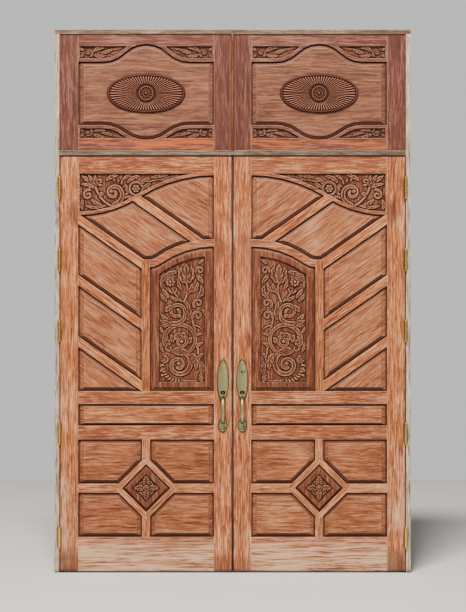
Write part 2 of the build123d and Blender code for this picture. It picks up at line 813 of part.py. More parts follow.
strike_low = (latch_heights[0] + deadbolt_heights[1]) / 2 - strike_size[1] / 2
strike_depths = (leaf_middle - strike_size[0] / 2, leaf_middle + strike_size[0] / 2)
strike_heights = (strike_low, strike_low + strike_size[1])
strike = box(-lock_edge - strike_thickness, -lock_edge, *strike_depths, *strike_heights)
latch_pocket = roomy(latch_depths, 2 * bolt_fit), roomy(latch_heights, 2 * bolt_fit)
deadbolt_pocket = roomy(deadbolt_depths, 2 * bolt_fit), roomy(deadbolt_heights, 2 * bolt_fit)
latch_room = box(latch_start - pocket_room, 0, *latch_pocket[0], *latch_pocket[1])
thrown = deadbolt_start - deadbolt_throw
deadbolt_room = box(thrown - pocket_room, 0, *deadbolt_pocket[0], *deadbolt_pocket[1])
save("left_meeting_stile", meeting_stile - strike - latch_room - deadbolt_room)
save("strike_plate", strike - latch_room - deadbolt_room)


def many_sided_oval(width, height, sides):
    turns = [2 * pi * n / sides for n in range(sides)]
    return Polygon(*[(width / 2 * cos(turn), height / 2 * sin(turn)) for turn in turns])


# Handles: a pointed plate, a bowed grip and an oval foot, cast in one piece
def pointed_oval(width, height, steps=6):
    shares = [2 * n / steps - 1 for n in range(steps + 1)]
    right = [(width / 2 * (1 - s * s), s * height / 2) for s in shares]
    left = [(-x, y) for x, y in reversed(right[1:-1])]
    return Polygon(*right, *left)


def grip():
    """A bow from the plate to the foot, fuller in its middle than at its ends."""
    middle = (grip_top + grip_bottom) / 2
    half = (grip_top - grip_bottom) / 2
    sections = []
    for n in range(grip_steps + 1):
        angle = pi * n / grip_steps
        swell = 0.75 + 0.25 * sin(angle)
        centre = (handle_x, 1 - grip_proud * sin(angle), middle + half * cos(angle))
        outward = Vector(0, -half * sin(angle), grip_proud * cos(angle)).normalized()
        plane = Plane(origin=centre, x_dir=(1, 0, 0), z_dir=Vector(1, 0, 0).cross(outward))
        sections.append((plane * many_sided_oval(grip_width * swell, grip_depth * swell, 8)).faces()[0])
    return loft(sections, ruled=True)


handle_corner = (handle_x, plate_top - plate_length / 2)
foot_corner = (handle_x, grip_bottom - foot_length / 4)
thumb_hole = box(*slot_sides, -far, 0, slot_low, slot_high)
bow = grip() & box(-far, 0, -far, 0, 0, far)
handle = slab(pointed_oval(plate_width, plate_length), handle_corner, 0, -handle_plate_depth)
handle += slab(many_sided_oval(foot_width, foot_length, round_sides), foot_corner, 0, -handle_plate_depth)
handle = handle + bow - thumb_hole
save("left_handle", handle)
collar = through_leaf(RegularPolygon(collar_radius, round_sides), cylinder_height, -collar_depth, 0)
plug_hole = through_leaf(bore_round(plug_radius + plug_clearance), cylinder_height, -far, 0)
save("right_handle", mirrored(handle) + collar - plug_hole)
plug_front = -collar_depth - running_gap
plug = RegularPolygon(plug_radius, round_sides)
save("key_plug", through_leaf(plug, cylinder_height, plug_front, plug_front + plug_length))

thumb_half = slot_half - thumb_side_clearance
lever = [(thumb_tail, -thumb_thickness / 2), (thumb_tail, thumb_thickness / 2)]
lever += [(-thumb_proud * 0.2, thumb_thickness / 2), (-thumb_proud * 0.8, thumb_thickness * 1.1)]
lever += [(-thumb_proud, thumb_thickness * 0.4), (-thumb_proud, -thumb_thickness * 0.5)]
lever += [(-thumb_proud * 0.8, 0), (-thumb_proud * 0.2, -thumb_thickness / 2)]
lever_plane = Plane(origin=(handle_x - thumb_half, 0, thumb_height), x_dir=(0, 1, 0), z_dir=(1, 0, 0))
thumb_piece = extrude(lever_plane * Polygon(*lever), amount=2 * thumb_half, dir=(1, 0, 0))
trunnion_end = handle_x - thumb_half - trunnion_reach
trunnion_start = Plane(origin=(trunnion_end, thumb_pivot_depth, thumb_height), z_dir=(1, 0, 0))
trunnion_bar = RegularPolygon(trunnion_radius, bore_sides)
trunnion = extrude(trunnion_start * trunnion_bar, amount=2 * (thumb_half + trunnion_reach))
both_hands("thumb_piece", thumb_piece + trunnion)

# Inside of the active leaf: a plate with a knob and a thumb turn
inner_face = leaf_thickness + inside_plate_depth
inside_corner = (right_x, plate_top - plate_length / 2)
inside_plate = slab(pointed_oval(plate_width, plate_length), inside_corner, inner_face, leaf_thickness)
for height in (latch_height, cylinder_height):
    inside_plate -= through_leaf(spindle_bore, height, 0, far)
save("inside_plate", inside_plate)
knob_back = inner_face + running_gap


def spindle(height):
    bar = RegularPolygon(spindle_radius, bore_sides)
    return through_leaf(bar, height, case_sides[1] + running_gap, knob_back + 1)


def turned(x, z, profile, sides):
    """A many-sided knob: radius after radius, each at its distance from the leaf."""
    turns = [2 * pi * n / sides for n in range(sides)]
    rings = [([Vector(r * cos(a), r * sin(a)) for a in turns], depth) for r, depth in profile]
    return stacked(rings, (x, z))


profile = [(knob_neck + 6, 0), (knob_neck, 8), (knob_neck, 0.4 * knob_reach)]
profile += [(knob_radius, 0.65 * knob_reach), (0.85 * knob_radius, knob_reach)]
profile = [(radius, knob_back + out) for radius, out in profile]
save("inside_knob", turned(right_x, latch_height, profile, 8) + spindle(latch_height))
wing_heights = roomy((cylinder_height, cylinder_height), turn_radius - 2)
turn_disc = RegularPolygon(turn_radius, bore_sides)
turn_base = through_leaf(turn_disc, cylinder_height, knob_back, knob_back + turn_base_depth)
wing_sides = roomy((right_x, right_x), turn_wing_thickness / 2)
turn_wing = box(*wing_sides, knob_back, knob_back + turn_reach, *wing_heights)
save("thumb_turn", turn_base + turn_wing + spindle(cylinder_height))

# Inside of the other leaf: bolts that hold it at its top and bottom
bolt_low_y = leaf_thickness + bracket_depth + running_gap
bolt_sides = (handle_x - barrel_bolt_width / 2, handle_x + barrel_bolt_width / 2)
bolt_depths = (bolt_low_y, bolt_low_y + barrel_bolt_width)
stop_low = transom_low - head_gap - stop_overlap
bolt_bottom = floor_gap + barrel_bolt_rest
bolt_top = stop_low - barrel_bolt_rest


def barrel_bolt(low, knob_z):
    bar = box(*bolt_sides, *bolt_depths, low, low + barrel_bolt_length)
    pull_depths = (bolt_depths[1], bolt_depths[1] + pull_size[1])
    pull_heights = roomy((knob_z, knob_z), pull_size[2] / 2)
    return bar + box(*roomy((handle_x, handle_x), pull_size[0] / 2), *pull_depths, *pull_heights)


def bracket(low):
    """A plate with a loop near each end that the bolt slides through."""
    plate_sides = roomy((handle_x, handle_x), bracket_width / 2)
    plate_depths = (leaf_thickness, leaf_thickness + bracket_depth)
    plate = box(*plate_sides, *plate_depths, low, low + bracket_length)
    loop_sides = roomy((handle_x, handle_x), loop_width / 2)
    for foot in (low + loop_inset, low + bracket_length - loop_inset - loop_height):
        plate += box(*loop_sides, leaf_thickness, bolt_depths[1] + loop_wall, foot, foot + loop_height)
    return plate - box(*roomy(bolt_sides, running_gap), *roomy(bolt_depths, running_gap), 0, far)


low_bracket = bolt_bottom + bracket_inset
high_bracket = bolt_top - bracket_inset - bracket_length
save("bolt_brackets", bracket(low_bracket), bracket(high_bracket))
middle_of_bracket = bracket_length / 2
save("bottom_bolt", barrel_bolt(bolt_bottom, low_bracket + middle_of_bracket))
save("top_bolt", barrel_bolt(bolt_top - barrel_bolt_length, high_bracket + middle_of_bracket))

# The fixed panels over the leaves
over_place = (over_corner, over_recess)


def over_curve(side, crown, grown=0.0):
    """Level, then an ogee to the crown at mid-width, and the mirror image of both."""
    middle = opening_width / 2
    half = [Line((0, side + grown), (over_flat_run, side + grown))]
    half += ogee((over_flat_run, side), (middle, crown), 0.5, grown)
    points = [half[0] @ 0] + [line @ 1 for line in half]
    mirrored_points = [Vector(2 * middle - point.X, point.Y) for point in reversed(points[:-1])]
    points += mirrored_points
    return [Line(start, end) for start, end in zip(points, points[1:])]


def over_region_below(side, crown, grown=0.0):
    return region_below(over_curve(side, crown, grown), -far)


over_under_top = over_region_below(over_side_high, over_crown_high)
over_under_bottom = over_region_below(over_side_low, over_crown_low)
over_face = (over_under_top - over_under_bottom).faces()[0]
over_groove = panel_groove(over_face, *over_place)
over_panel = raised_panel(over_face, *over_place, plain_widths)
save("over_panels", over_panel, mirrored(over_panel))

over_sheet = rectangle(0, opening_width, 0, over_height)
over_rails, over_boards = [], []
rooms = [
    rectangle(spandrel_margin, opening_width / 2, over_side_high, over_spandrel_high)
    - over_region_below(over_side_high, over_crown_high, spandrel_band),
    rectangle(spandrel_margin, opening_width / 2, over_spandrel_low, over_side_low)
    & over_region_below(over_side_low, over_crown_low, -spandrel_band),
]
rail_faces = [over_sheet - over_under_top, over_sheet & over_under_bottom]
rail_spans = [(over_crown_high, over_height), (0, over_crown_low)]
over_middle = Plane.YZ.offset(over_corner[0] + opening_width / 2)
over_mortises = []
for room, face, ends, rising in zip(rooms, rail_faces, rail_spans, (True, False)):
    field = room.faces().sort_by(Axis.X)[0]
    recess, board = let_in_board(field, over_spandrel(field, rising), *over_place)
    over_boards += [board, mirror(board, about=over_middle)]
    tenon_heights = roomy(ends, -over_shoulder)
    tenons = rectangle(-tenon_length, opening_width + tenon_length, *tenon_heights)
    voids = [over_groove, recess, mirror(recess, about=over_middle)]
    over_rails.append(member(face, tenons, voids, *over_place, over_thickness))
    over_mortises.append(mortise(*ends, over_shoulder, over_place))
save("over_spandrels", *over_boards, *[mirrored(board) for board in over_boards])
save("over_rails", *over_rails, *[mirrored(rail) for rail in over_rails])

outer_edge = jamb_line + over_gap - over_corner[0]
inner_edge = -mullion_face / 2 - over_gap - over_corner[0]
over_voids = [over_groove] + over_mortises
over_stiles = []
for edges in ((outer_edge, 0), (opening_width, inner_edge)):
    body = rectangle(*edges, 0, over_height)
    over_stiles.append(member(body, None, over_voids, *over_place, over_thickness))
save("over_stiles", *over_stiles, *[mirrored(stile) for stile in over_stiles])

# Oval medallions: a sheet pleated into ribs between a hub and a raised rim
medallion_seat = over_recess + field_depth
medallion_height = over_low + (over_side_low + over_side_high) / 2
valley_depth = medallion_seat - medallion_base
rim_depth = medallion_seat - medallion_proud
ridge_depth = rim_depth + ridge_drop


def oval_point(half_width, half_height, turn, depth):
    angle = 2 * pi * turn
    return Vector(half_width * cos(angle), depth, half_height * sin(angle))


def ribbed_oval():
    """A rim round ribs that rise from nothing at the hub's cone, over a flat back."""
    whole = (medallion_across / 2, medallion_tall / 2)
    inside = (whole[0] - medallion_rim, whole[1] - medallion_rim)
    hub = (hub_across / 2, hub_across / 2)
    turns = [n / rib_count for n in range(rib_count)]
    back = [oval_point(*whole, turn, medallion_seat) for turn in turns]
    edge = [oval_point(*whole, turn, rim_depth) for turn in turns]
    brink = [oval_point(*inside, turn, rim_depth) for turn in turns]
    valley = [oval_point(*inside, turn, valley_depth) for turn in turns]
    foot = [oval_point(*hub, turn, valley_depth) for turn in turns]
    peak = Vector(0, rim_depth, 0)
    drawn = [back]
    for n in range(rib_count):
        ahead = (n + 1) % rib_count
        ridge = (valley[n] + valley[ahead]) / 2
        ridge.Y = ridge_depth
        drawn.append([back[n], back[ahead], edge[ahead], edge[n]])
        drawn.append([edge[n], edge[ahead], brink[ahead], brink[n]])
        drawn.append([brink[n], brink[ahead], valley[ahead], ridge, valley[n]])
        drawn.append([valley[n], ridge, foot[n]])
        drawn.append([ridge, foot[ahead], foot[n]])
        drawn.append([ridge, valley[ahead], foot[ahead]])
        drawn.append([foot[n], foot[ahead], peak])
    return Solid(Shell([Face(Wire.make_polygon(corners)) for corners in drawn]))


medallion = Pos(over_corner[0] + opening_width / 2, 0, medallion_height) * ribbed_oval()
save("medallions", medallion, mirrored(medallion))

# The frame: jambs with stops, a transom bar, a mullion and a head
jamb_plan = [(jamb_outer, 0), (jamb_line, 0), (jamb_line, stop_front), (stop_edge, stop_front)]
jamb_plan += [(stop_edge, frame_depth), (jamb_outer, frame_depth)]
jamb = extrude(Polygon(*jamb_plan), amount=head_line, dir=(0, 0, 1))
tenon_up, tenon_deep, tenon_in = corner_tenon
tenon_y = (stop_front + frame_depth - tenon_deep) / 2
tenon_sides = (jamb_line - tenon_in / 2, jamb_line + tenon_in / 2)
tenon_depths = (tenon_y, tenon_y + tenon_deep)
room_depths = roomy(tenon_depths, tongue_clearance)
jamb_tenon = box(*tenon_sides, *tenon_depths, head_line, head_line + tenon_up)
pocket_heights = roomy((head_line, head_line + tenon_up), tongue_end_clearance)
head_pocket = box(*roomy(tenon_sides, tongue_clearance), *room_depths, *pocket_heights)
bar_sides = (stop_edge - tenon_in, stop_edge)
bar_heights = roomy((transom_low, transom_low + transom_face), -bar_tenon_shoulder)
bar_tenon = box(*bar_sides, *tenon_depths, *bar_heights)
bar_pocket_heights = roomy(bar_heights, tongue_clearance)
bar_pocket = box(*roomy(bar_sides, tongue_end_clearance), *room_depths, *bar_pocket_heights)
fixings = []
for height in (fixing_low, fixing_low + fixing_pitch):
    bore = Plane(origin=(jamb_outer - 1, (stop_front + frame_depth) / 2, height), z_dir=(1, 0, 0))
    fixings.append(extrude(bore * Circle(fixing_radius), amount=stop_edge - jamb_outer + 2))
jamb = cut(jamb, jamb_recesses) - bar_pocket - fixings[0] - fixings[1] + jamb_tenon
both_hands("jamb", jamb)

head = box(jamb_outer, -jamb_outer, 0, frame_depth, head_line, frame_top)
head_stop_low = head_line - over_gap - stop_overlap
head += box(stop_edge, -stop_edge, stop_front, frame_depth, head_stop_low, head_line)
save("head", head - head_pocket - mirrored(head_pocket))

over_stop = over_low + stop_overlap
transom = box(jamb_line, -jamb_line, 0, stop_front, transom_low, transom_low + transom_face)
transom += box(stop_edge, -stop_edge, stop_front, frame_depth, stop_low, over_stop)
socket_heights = (stop_low - 1, bolt_top + barrel_bolt_throw + socket_room)
bolt_socket = box(*roomy(bolt_sides, running_gap), *roomy(bolt_depths, running_gap), *socket_heights)
save("transom_bar", transom + bar_tenon + mirrored(bar_tenon) - bolt_socket)

half_face = mullion_face / 2
half_bead = bead_width / 2
right_side = [(half_bead, bead_shoulder), (half_face, bead_shoulder), (half_face, stop_front)]
left_side = [(-x, y) for x, y in reversed(right_side)]
bead = ThreePointArc(left_side[-1], (0, bead_shoulder - half_bead), right_side[0])
mullion_plan = make_face([bead.edge(), *Polyline(*right_side, *left_side).edges()])
mullion_foot = transom_low + transom_face
mullion = extrude(Pos(0, 0, mullion_foot) * mullion_plan, amount=head_line - mullion_foot, dir=(0, 0, 1))
half_stop = half_face + over_gap + stop_overlap
mullion += box(-half_stop, half_stop, stop_front, frame_depth, over_stop, head_stop_low)
save("mullion", mullion)
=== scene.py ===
# %% [markdown]
# # A carved temple door
# The door is a pair of panelled leaves with two fixed carved panels over them, in a thin frame.
# The cut timber, the joints and the motion come from the CAD model. What is added here is what the hand
# and the weather give such a door: carving, cast fittings, grain, bleached rails and worn edges, with
# painted light and shade laid into the colours of its ledges, hollows, carving, gaps and arrises.

# %% Load the fixed frame
from math import atan, cos, pi, radians, sin, sqrt

import bpy
import numpy as np
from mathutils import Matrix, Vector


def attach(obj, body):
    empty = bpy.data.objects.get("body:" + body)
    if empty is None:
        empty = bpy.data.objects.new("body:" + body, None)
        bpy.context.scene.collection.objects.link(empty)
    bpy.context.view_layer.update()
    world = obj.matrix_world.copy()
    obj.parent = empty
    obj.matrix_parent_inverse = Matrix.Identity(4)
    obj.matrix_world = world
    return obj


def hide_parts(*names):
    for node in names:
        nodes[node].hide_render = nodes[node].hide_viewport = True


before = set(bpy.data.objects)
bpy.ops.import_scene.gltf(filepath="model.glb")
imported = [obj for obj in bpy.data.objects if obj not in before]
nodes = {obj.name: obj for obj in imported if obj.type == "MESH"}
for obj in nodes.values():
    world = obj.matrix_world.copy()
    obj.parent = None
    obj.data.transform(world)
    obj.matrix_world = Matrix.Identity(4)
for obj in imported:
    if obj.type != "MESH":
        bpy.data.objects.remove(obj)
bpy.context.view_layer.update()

# %% [markdown]
# ## Camera, floor and light
# The photograph looks straight at the door from some way off, so its upright lines stay upright.
# The camera therefore stands level, on the photograph's middle height, and far enough away that
# the leaves' thickness hardly shows. A broad lamp above and in front draws the shadows under
# each rail, which is what makes the raised panels read.

# %% Set up the camera
photo_high = 3.243
camera_middle = 1.414
camera_side = 0.002
camera_away = 7.5
film_width = 36
camera_data = bpy.data.cameras.new("view")
camera = bpy.data.objects.new("view", camera_data)
bpy.context.scene.collection.objects.link(camera)
camera.location = (camera_side, -camera_away, camera_middle)
camera.rotation_euler = (pi / 2, 0, 0)
camera_data.sensor_width = film_width
camera_data.lens = film_width * camera_away / photo_high
bpy.context.scene.camera = camera
print("lens", round(camera_data.lens, 1), "mm")


# %% Lay the floor and hang the lamps
def deselect_all():
    bpy.ops.object.select_all(action="DESELECT")


deselect_all()
bpy.ops.mesh.primitive_plane_add(size=1, location=(0, -1, 0))
floor = bpy.context.active_object
floor.name = "floor"
floor.scale = (14, 10, 1)
bpy.ops.object.transform_apply(location=True, rotation=True, scale=True)


def lamp(name, place, target, size, power, colour):
    """An area lamp that faces its target, in watts."""
    data = bpy.data.lights.new(name, "AREA")
    data.shape = "RECTANGLE"
    data.size, data.size_y = size
    data.energy = power
    data.color = colour
    made = bpy.data.objects.new(name, data)
    bpy.context.scene.collection.objects.link(made)
    made.location = place
    direction = Vector(target) - Vector(place)
    made.rotation_euler = direction.to_track_quat("-Z", "Y").to_euler()


door_middle = (0, 0, 1.2)
lamp("sky_lamp", (-1.0, -4.4, 9.0), door_middle, (2.6, 1.4), 1750, (1.0, 0.96, 0.9))
lamp("fill_lamp", (2.5, -6.0, 2.6), door_middle, (3.0, 3.0), 70, (0.95, 0.97, 1.0))
# The room lights the door weakly, so that shadows stay dark, but looks pale to the camera
room_light = 0.2
room_look = 0.75
world = bpy.data.worlds.new("pale room")
bpy.context.scene.world = world
world.use_nodes = True
room = world.node_tree.nodes["Background"]
room.inputs[0].default_value = (0.93, 0.94, 0.95, 1)
seen = world.node_tree.nodes.new("ShaderNodeLightPath")
strength = world.node_tree.nodes.new("ShaderNodeMapRange")
strength.inputs[3].default_value = room_light
strength.inputs[4].default_value = room_look
world.node_tree.links.new(seen.outputs[0], strength.inputs[0])
world.node_tree.links.new(strength.outputs[0], room.inputs[1])
print("Lamps:", sorted(light.name for light in bpy.data.lights))

# %% [markdown]
# ## Shader sums in plain Python
# Every finish here is worked out from noise and from places on the door. Written as nodes such sums
# are hard to read, so a small wrapper lets them be written as sums: each operator adds its Math node.

# %% A socket that can be added and multiplied
def by(operation):
    """A method that adds one Math node."""
    def method(self, *others):
        inputs = dict(enumerate((self, *others)))
        return self.finish.node("Math", {"operation": operation}, inputs)
    return method


class Socket:
    """What comes out of a node, ready for sums."""

    def __init__(self, finish, socket):
        self.finish = finish
        self.socket = socket

    __add__ = __radd__ = by("ADD")
    __mul__ = __rmul__ = by("MULTIPLY")
    __sub__ = by("SUBTRACT")
    __truediv__ = by("DIVIDE")
    size = by("ABSOLUTE")
    sign = by("SIGN")
    sine = by("SINE")
    least = by("MINIMUM")
    most = by("MAXIMUM")
    is_below = by("LESS_THAN")

    def __rsub__(self, other):
        return self * -1 + other

    def ramp(self, low, high):
        """0 below low, 1 above high and smooth between; falls where high is below low."""
        settings = {"interpolation_type": "SMOOTHSTEP"}
        return self.finish.node("MapRange", settings, {0: self, 1: low, 2: high, 3: 0.0, 4: 1.0})


# %% A material that grows node by node
class Finish:
    """A material under construction: its nodes come from one method."""

    def __init__(self, name):
        self.material = bpy.data.materials.new(name)
        self.material.use_nodes = True
        self.tree = self.material.node_tree
        self.tree.nodes.clear()

    def node(self, kind, settings=None, inputs=None, output=0):
        made = self.tree.nodes.new("ShaderNode" + kind)
        for key, value in (settings or {}).items():
            setattr(made, key, value)
        for key, value in (inputs or {}).items():
            if isinstance(value, Socket):
                self.tree.links.new(value.socket, made.inputs[key])
            else:
                made.inputs[key].default_value = value
        return Socket(self, made.outputs[output]) if made.outputs else made

    def parts(self, vector):
        """The x, y and z of a vector, as three sockets."""
        split = self.node("SeparateXYZ", None, {0: vector}).socket.node
        return [Socket(self, split.outputs[n]) for n in range(3)]

    def place(self):
        """Where on the door a point is, in metres."""
        return self.parts(self.node("TexCoord", output=3))

    def vector(self, x, y, z):
        return self.node("CombineXYZ", None, {0: x, 1: y, 2: z})

    def noise(self, vector, detail=3.0, roughness=0.55, distortion=0.0):
        inputs = {"Vector": vector, "Scale": 1.0, "Detail": detail}
        inputs.update({"Roughness": roughness, "Distortion": distortion})
        return self.node("TexNoise", None, inputs)

    def mix(self, factor, first, second):
        """Two colours mixed by a factor. Each is a socket or a screen colour."""
        first, second = [c if isinstance(c, Socket) else srgb(*c) for c in (first, second)]
        settings = {"data_type": "RGBA", "clamp_factor": True}
        return self.node("Mix", settings, {0: factor, 6: first, 7: second}, output=2)

    def coats(self, colour, *layers):
        """A colour with tints laid over it in turn, each by its own factor."""
        for factor, tint in layers:
            colour = self.mix(factor, colour, tint)
        return colour

    def openness(self, reach):
        """1 in the open, and less in a hollow."""
        return self.node("AmbientOcclusion", {"samples": 8}, {"Distance": reach}, output=1)

    def arrises(self, radius):
        """The normal with its arrises rounded, and how far it turns there from the true one."""
        rounded = self.node("Bevel", {"samples": 6}, {"Radius": radius})
        flat = self.node("NewGeometry", output=1)
        facing = self.node("VectorMath", {"operation": "DOT_PRODUCT"}, {0: rounded, 1: flat}, output=1)
        return rounded, 1 - facing

    def bump(self, height, strength, distance, normal):
        inputs = {"Height": height, "Strength": strength, "Distance": distance, "Normal": normal}
        return self.node("Bump", None, inputs)

    def shade(self, inputs):
        shader = self.node("BsdfPrincipled", None, inputs)
        self.node("OutputMaterial", None, {0: shader})
        return self.material


def srgb(red, green, blue):
    """A screen colour, 0 to 255, as the shader's own light values."""
    shares = [value / 255 for value in (red, green, blue)]
    linear = [c / 12.92 if c <= 0.04045 else ((c + 0.055) / 1.055) ** 2.4 for c in shares]
    return (*linear, 1.0)


# %% [markdown]
# ## Weathered wood, with painted light and shade
# Real boards show broad streaks from the growth rings, fine fibres inside them, and pores. All three
# are noise that is stretched along the grain. Sun and rain then bleach the low rails. Upward ledges
# get a painted highlight, slopes and downward ledges painted shade, the hollows painted shade too, and
# every arris is rubbed pale, which is wear and a painted highlight at once. The hollows come from
# ambient occlusion and the arrises from the bevel node, so they follow the shape by themselves.

# %% Run the grain
bar_lean = radians(34.9)
diamond_x = 0.4585
diamond_z = 0.4485
diamond_bars_reach = 0.17
level_bar_half = 0.0245
diagonal = 0.7071
other_board = 3.0


def grain_axes(finish, run):
    """How far along and across the grain a point lies. The two leaves are of other boards."""
    x, y, z = finish.place()
    board = x.sign() * other_board
    if run == "upright":
        return z, x
    if run == "level":
        return x, z
    if run == "slant":
        ax = x.size()
        return ax * cos(bar_lean) + z * sin(bar_lean), z * cos(bar_lean) - ax * sin(bar_lean) + board
    # The bars round the diamond: each follows its own length
    from_x, from_z = x.size() - diamond_x, z - diamond_z
    dx, dz = from_x.size(), from_z.size()
    board = board + from_x.sign() * 1.3 + from_z.sign() * 0.7
    on_diamond = (dx + dz).is_below(diamond_bars_reach)
    level = dz.is_below(level_bar_half)
    slanting = (dx - dz) * diagonal, (dx + dz) * diagonal
    straight = x * level + z * (1 - level), z * level + x * (1 - level)
    along = slanting[0] * on_diamond + straight[0] * (1 - on_diamond)
    across = slanting[1] * on_diamond + straight[1] * (1 - on_diamond)
    return along, across + board


# %% Mix the wood
def wood(name, run="upright", dark=(88, 34, 14), body=(178, 102, 56), pale=(222, 152, 102),
         figure=1.0, bleach=0.5, seed=0.0, hollow_shading=1.0, edge=1.0, slope_light_shade=1.0, coarse=0.6, carved=0.0,
         deep=0.05, crest=(214, 154, 114), gloss=0.3, top_highlight_share=1.0, stain=None):
    """Wood whose grain runs one way, with its three colours and the strength of each kind of wear and of its
    painted shade and highlights.
    """
    finish = Finish(name)
    x, y, z = finish.place()
    along, across = grain_axes(finish, run)
    swirl = finish.noise(finish.vector(x * 5 + seed, y * 5, z * 5), 2.0) - 0.5
    along, across = along + seed * 1.7, across + seed * 2.3 + swirl * (0.014 * figure)

    def grain(stretch, crowd, detail, roughness, distortion=0.0, aside=0.0, inward=0.0):
        """Noise drawn out along the grain."""
        there = finish.vector(along * stretch, across * crowd + aside, y * crowd + inward)
        return finish.noise(there, detail, roughness, distortion)

    bands = grain(1.8, 26, 3.0, 0.6, 0.6, inward=seed)
    streaks = grain(4.6, 108, 3.0, 0.7, 0.5, inward=seed)
    fibres = grain(8, 150, 4.0, 0.75, 0.2)
    cracks = grain(5, 120, 2.0, 0.5, 0.2, aside=9)
    flecks = grain(13, 120, 2.0, 0.6, 0.3, aside=4)
    pores = grain(30, 620, 1.0, 0.5)
    rings = (finish.noise(finish.vector(along * 0.9, across * 6.5, y * 6), 1.0, 0.4, 0.3) * 62).sine()
    blotch = finish.noise(finish.vector(x * 4.2 + seed, y * 4, z * 3.1), 4.0, 0.6, 0.5)
    tone = bands * 0.5 + (streaks - 0.5) * coarse + fibres * 1.7 + rings * 0.03 * figure + blotch * 0.4 - 1.3
    colour = finish.coats(dark, (tone.ramp(-0.34, 0.02), body), (tone.ramp(0.04, 0.22), pale),
                          (cracks.ramp(0.58, 0.68) * 0.75, dark), (pores.ramp(0.56, 0.70) * 0.45, dark),
                          (flecks.ramp(0.55, 0.68) * 0.65, pale), (flecks.ramp(0.44, 0.3) * 0.65, dark))
    # Sun-bleached, dry wood, most of it low down
    low = z.ramp(1.1, 0.08) * 0.2 * bleach
    dry = (fibres * 0.6 + streaks * 0.5 + blotch * 0.7 + bands * 0.3 + low).ramp(1.12, 1.42)
    colour = finish.mix(dry * min(0.9, bleach), colour, (226, 184, 148))
    # Painted light from above: slopes and ledges that face down get painted shade, ledges that face the sky a
    # painted highlight
    turned_y, skyward = finish.parts(finish.node("NewGeometry", output=1))[1:]
    steep = 1 - turned_y.size()
    top_highlight = skyward.ramp(0.07, 0.34) * (0.3 + fibres * 0.7) * slope_light_shade * top_highlight_share
    colour = finish.coats(colour, (steep.ramp(0.015, 0.05) * 0.7 * slope_light_shade, (98, 40, 20)),
                          (steep.ramp(0.25, 0.7) * 0.7 * slope_light_shade, (60, 20, 10)),
                          (skyward.ramp(-0.05, -0.3) * 0.6, (74, 28, 14)), (top_highlight, (228, 176, 136)))
    # Painted shade in the hollows, wide ones and the narrow ones at each step
    wide, narrow = finish.openness(0.035), finish.openness(0.009)
    hollow_shade = wide.ramp(0.95, 0.6).most(narrow.ramp(0.97, 0.72) * 0.85) * hollow_shading
    colour = finish.mix(hollow_shade * 0.92, colour, (50, 15, 8))
    # Painted shade in the carving's valleys and a painted highlight on its crests
    if carved:
        stands_out = finish.node("Attribute", {"attribute_name": "crest"}, output=2)
        colour = finish.coats(colour, (stands_out.ramp(deep, deep - 0.5) * 0.95, (36, 11, 6)),
                              (stands_out.ramp(0.3, 0.95) * carved, crest))
    # Arrises rubbed pale: wear, and a painted highlight along every arris
    rounded, turning = finish.arrises(0.0035)
    rubbed = turning.ramp(0.004, 0.09) * wide.ramp(0.45, 0.95) * 0.55 * edge
    colour = finish.mix(rubbed, colour, (236, 190, 152))
    if stain:
        colour = stain(finish, colour, x, z, streaks)
    bump = finish.bump(fibres * 0.7 + bands * 0.4 + pores * 0.25, 0.8, 0.0018, rounded)
    rough = 0.62 + (fibres - 0.5) * 0.25 + dry * 0.15
    return finish.shade({"Base Color": colour, "Roughness": rough, "Normal": bump,
                         "Specular IOR Level": gloss})


# %% [markdown]
# ## Stains and painted shade at the gaps
# Water and weather leave their marks in certain places, the wood round the handles is darker, and the
# leaves' edges and top are painted black as the shade in the gaps. Each stain is an oval or a band at a
# place on the door, in metres, and is laid over the finished colour. A place is told by its distance
# from the middle line, so a stain comes on both leaves.

# %% Stain the wood where it is wet or worn, and paint shade along the gaps
handle_line = 0.052
medallion_place = (0.4585, 2.5415)
old_varnish = (64, 27, 18)


def oval_share(x, z, place, reach):
    """0 at a place on either leaf, 1 on the oval that lies at its reach across and up."""
    across = (x.size() - place[0]) / reach[0]
    up = (z - place[1]) / reach[1]
    return across * across + up * up


def spot(x, z, place, reach):
    """1 at a place on either leaf, falling to 0 at its reach."""
    return oval_share(x, z, place, reach).ramp(1.0, 0.1)


def shade_the_gaps(finish, colour, x, z):
    """The leaf's edges and top are painted black as the shade in the gaps, so the gaps read as black lines.
    """
    gap_shade = x.size().ramp(0.007, 0.0054).most(x.size().ramp(0.9105, 0.913)).most(z.ramp(2.2025, 2.2045))
    return finish.mix(gap_shade * 0.94, colour, (16, 8, 6))


def stile_stains(finish, colour, x, z, streaks):
    """Water has darkened the stile's foot and the joint with the ogee rail."""
    # Painted shade in the gaps, along the leaf's edges and top
    colour = shade_the_gaps(finish, colour, x, z)
    patches = spot(x, z, (0.86, 0.03), (0.12, 0.13)) + spot(x, z, (0.83, 1.905), (0.05, 0.09))
    return finish.mix(patches * (streaks * 1.6 - 0.2).least(0.8), colour, (74, 36, 22))


def meeting_stains(finish, colour, x, z, streaks):
    """The wood round the ogee's end has darkened, the wood is darker in a ring round the handle's plate and
    foot and beside its grip, and the leaf's edges get painted shade.
    """
    patches = spot(x, z, (0.09, 1.72), (0.06, 0.12)) + spot(x, z, (0.05, 0.03), (0.1, 0.08))
    front = finish.place()[1].ramp(0.02, 0.005)
    round_plate = oval_share(x, z, (handle_line, 1.019), (0.0305, 0.108)).ramp(1.3, 0.95)
    round_foot = oval_share(x, z, (handle_line, 0.781), (0.023, 0.037)).ramp(1.35, 0.95)
    beside_grip = spot(x, z, (0.051, 0.862), (0.03, 0.085))
    colour = finish.coats(colour, (patches * 0.5, (96, 46, 26)),
                          (round_plate.most(round_foot) * front * 0.8, (36, 16, 10)),
                          (beside_grip * front * 0.5, (104, 42, 22)))
    return shade_the_gaps(finish, colour, x, z)


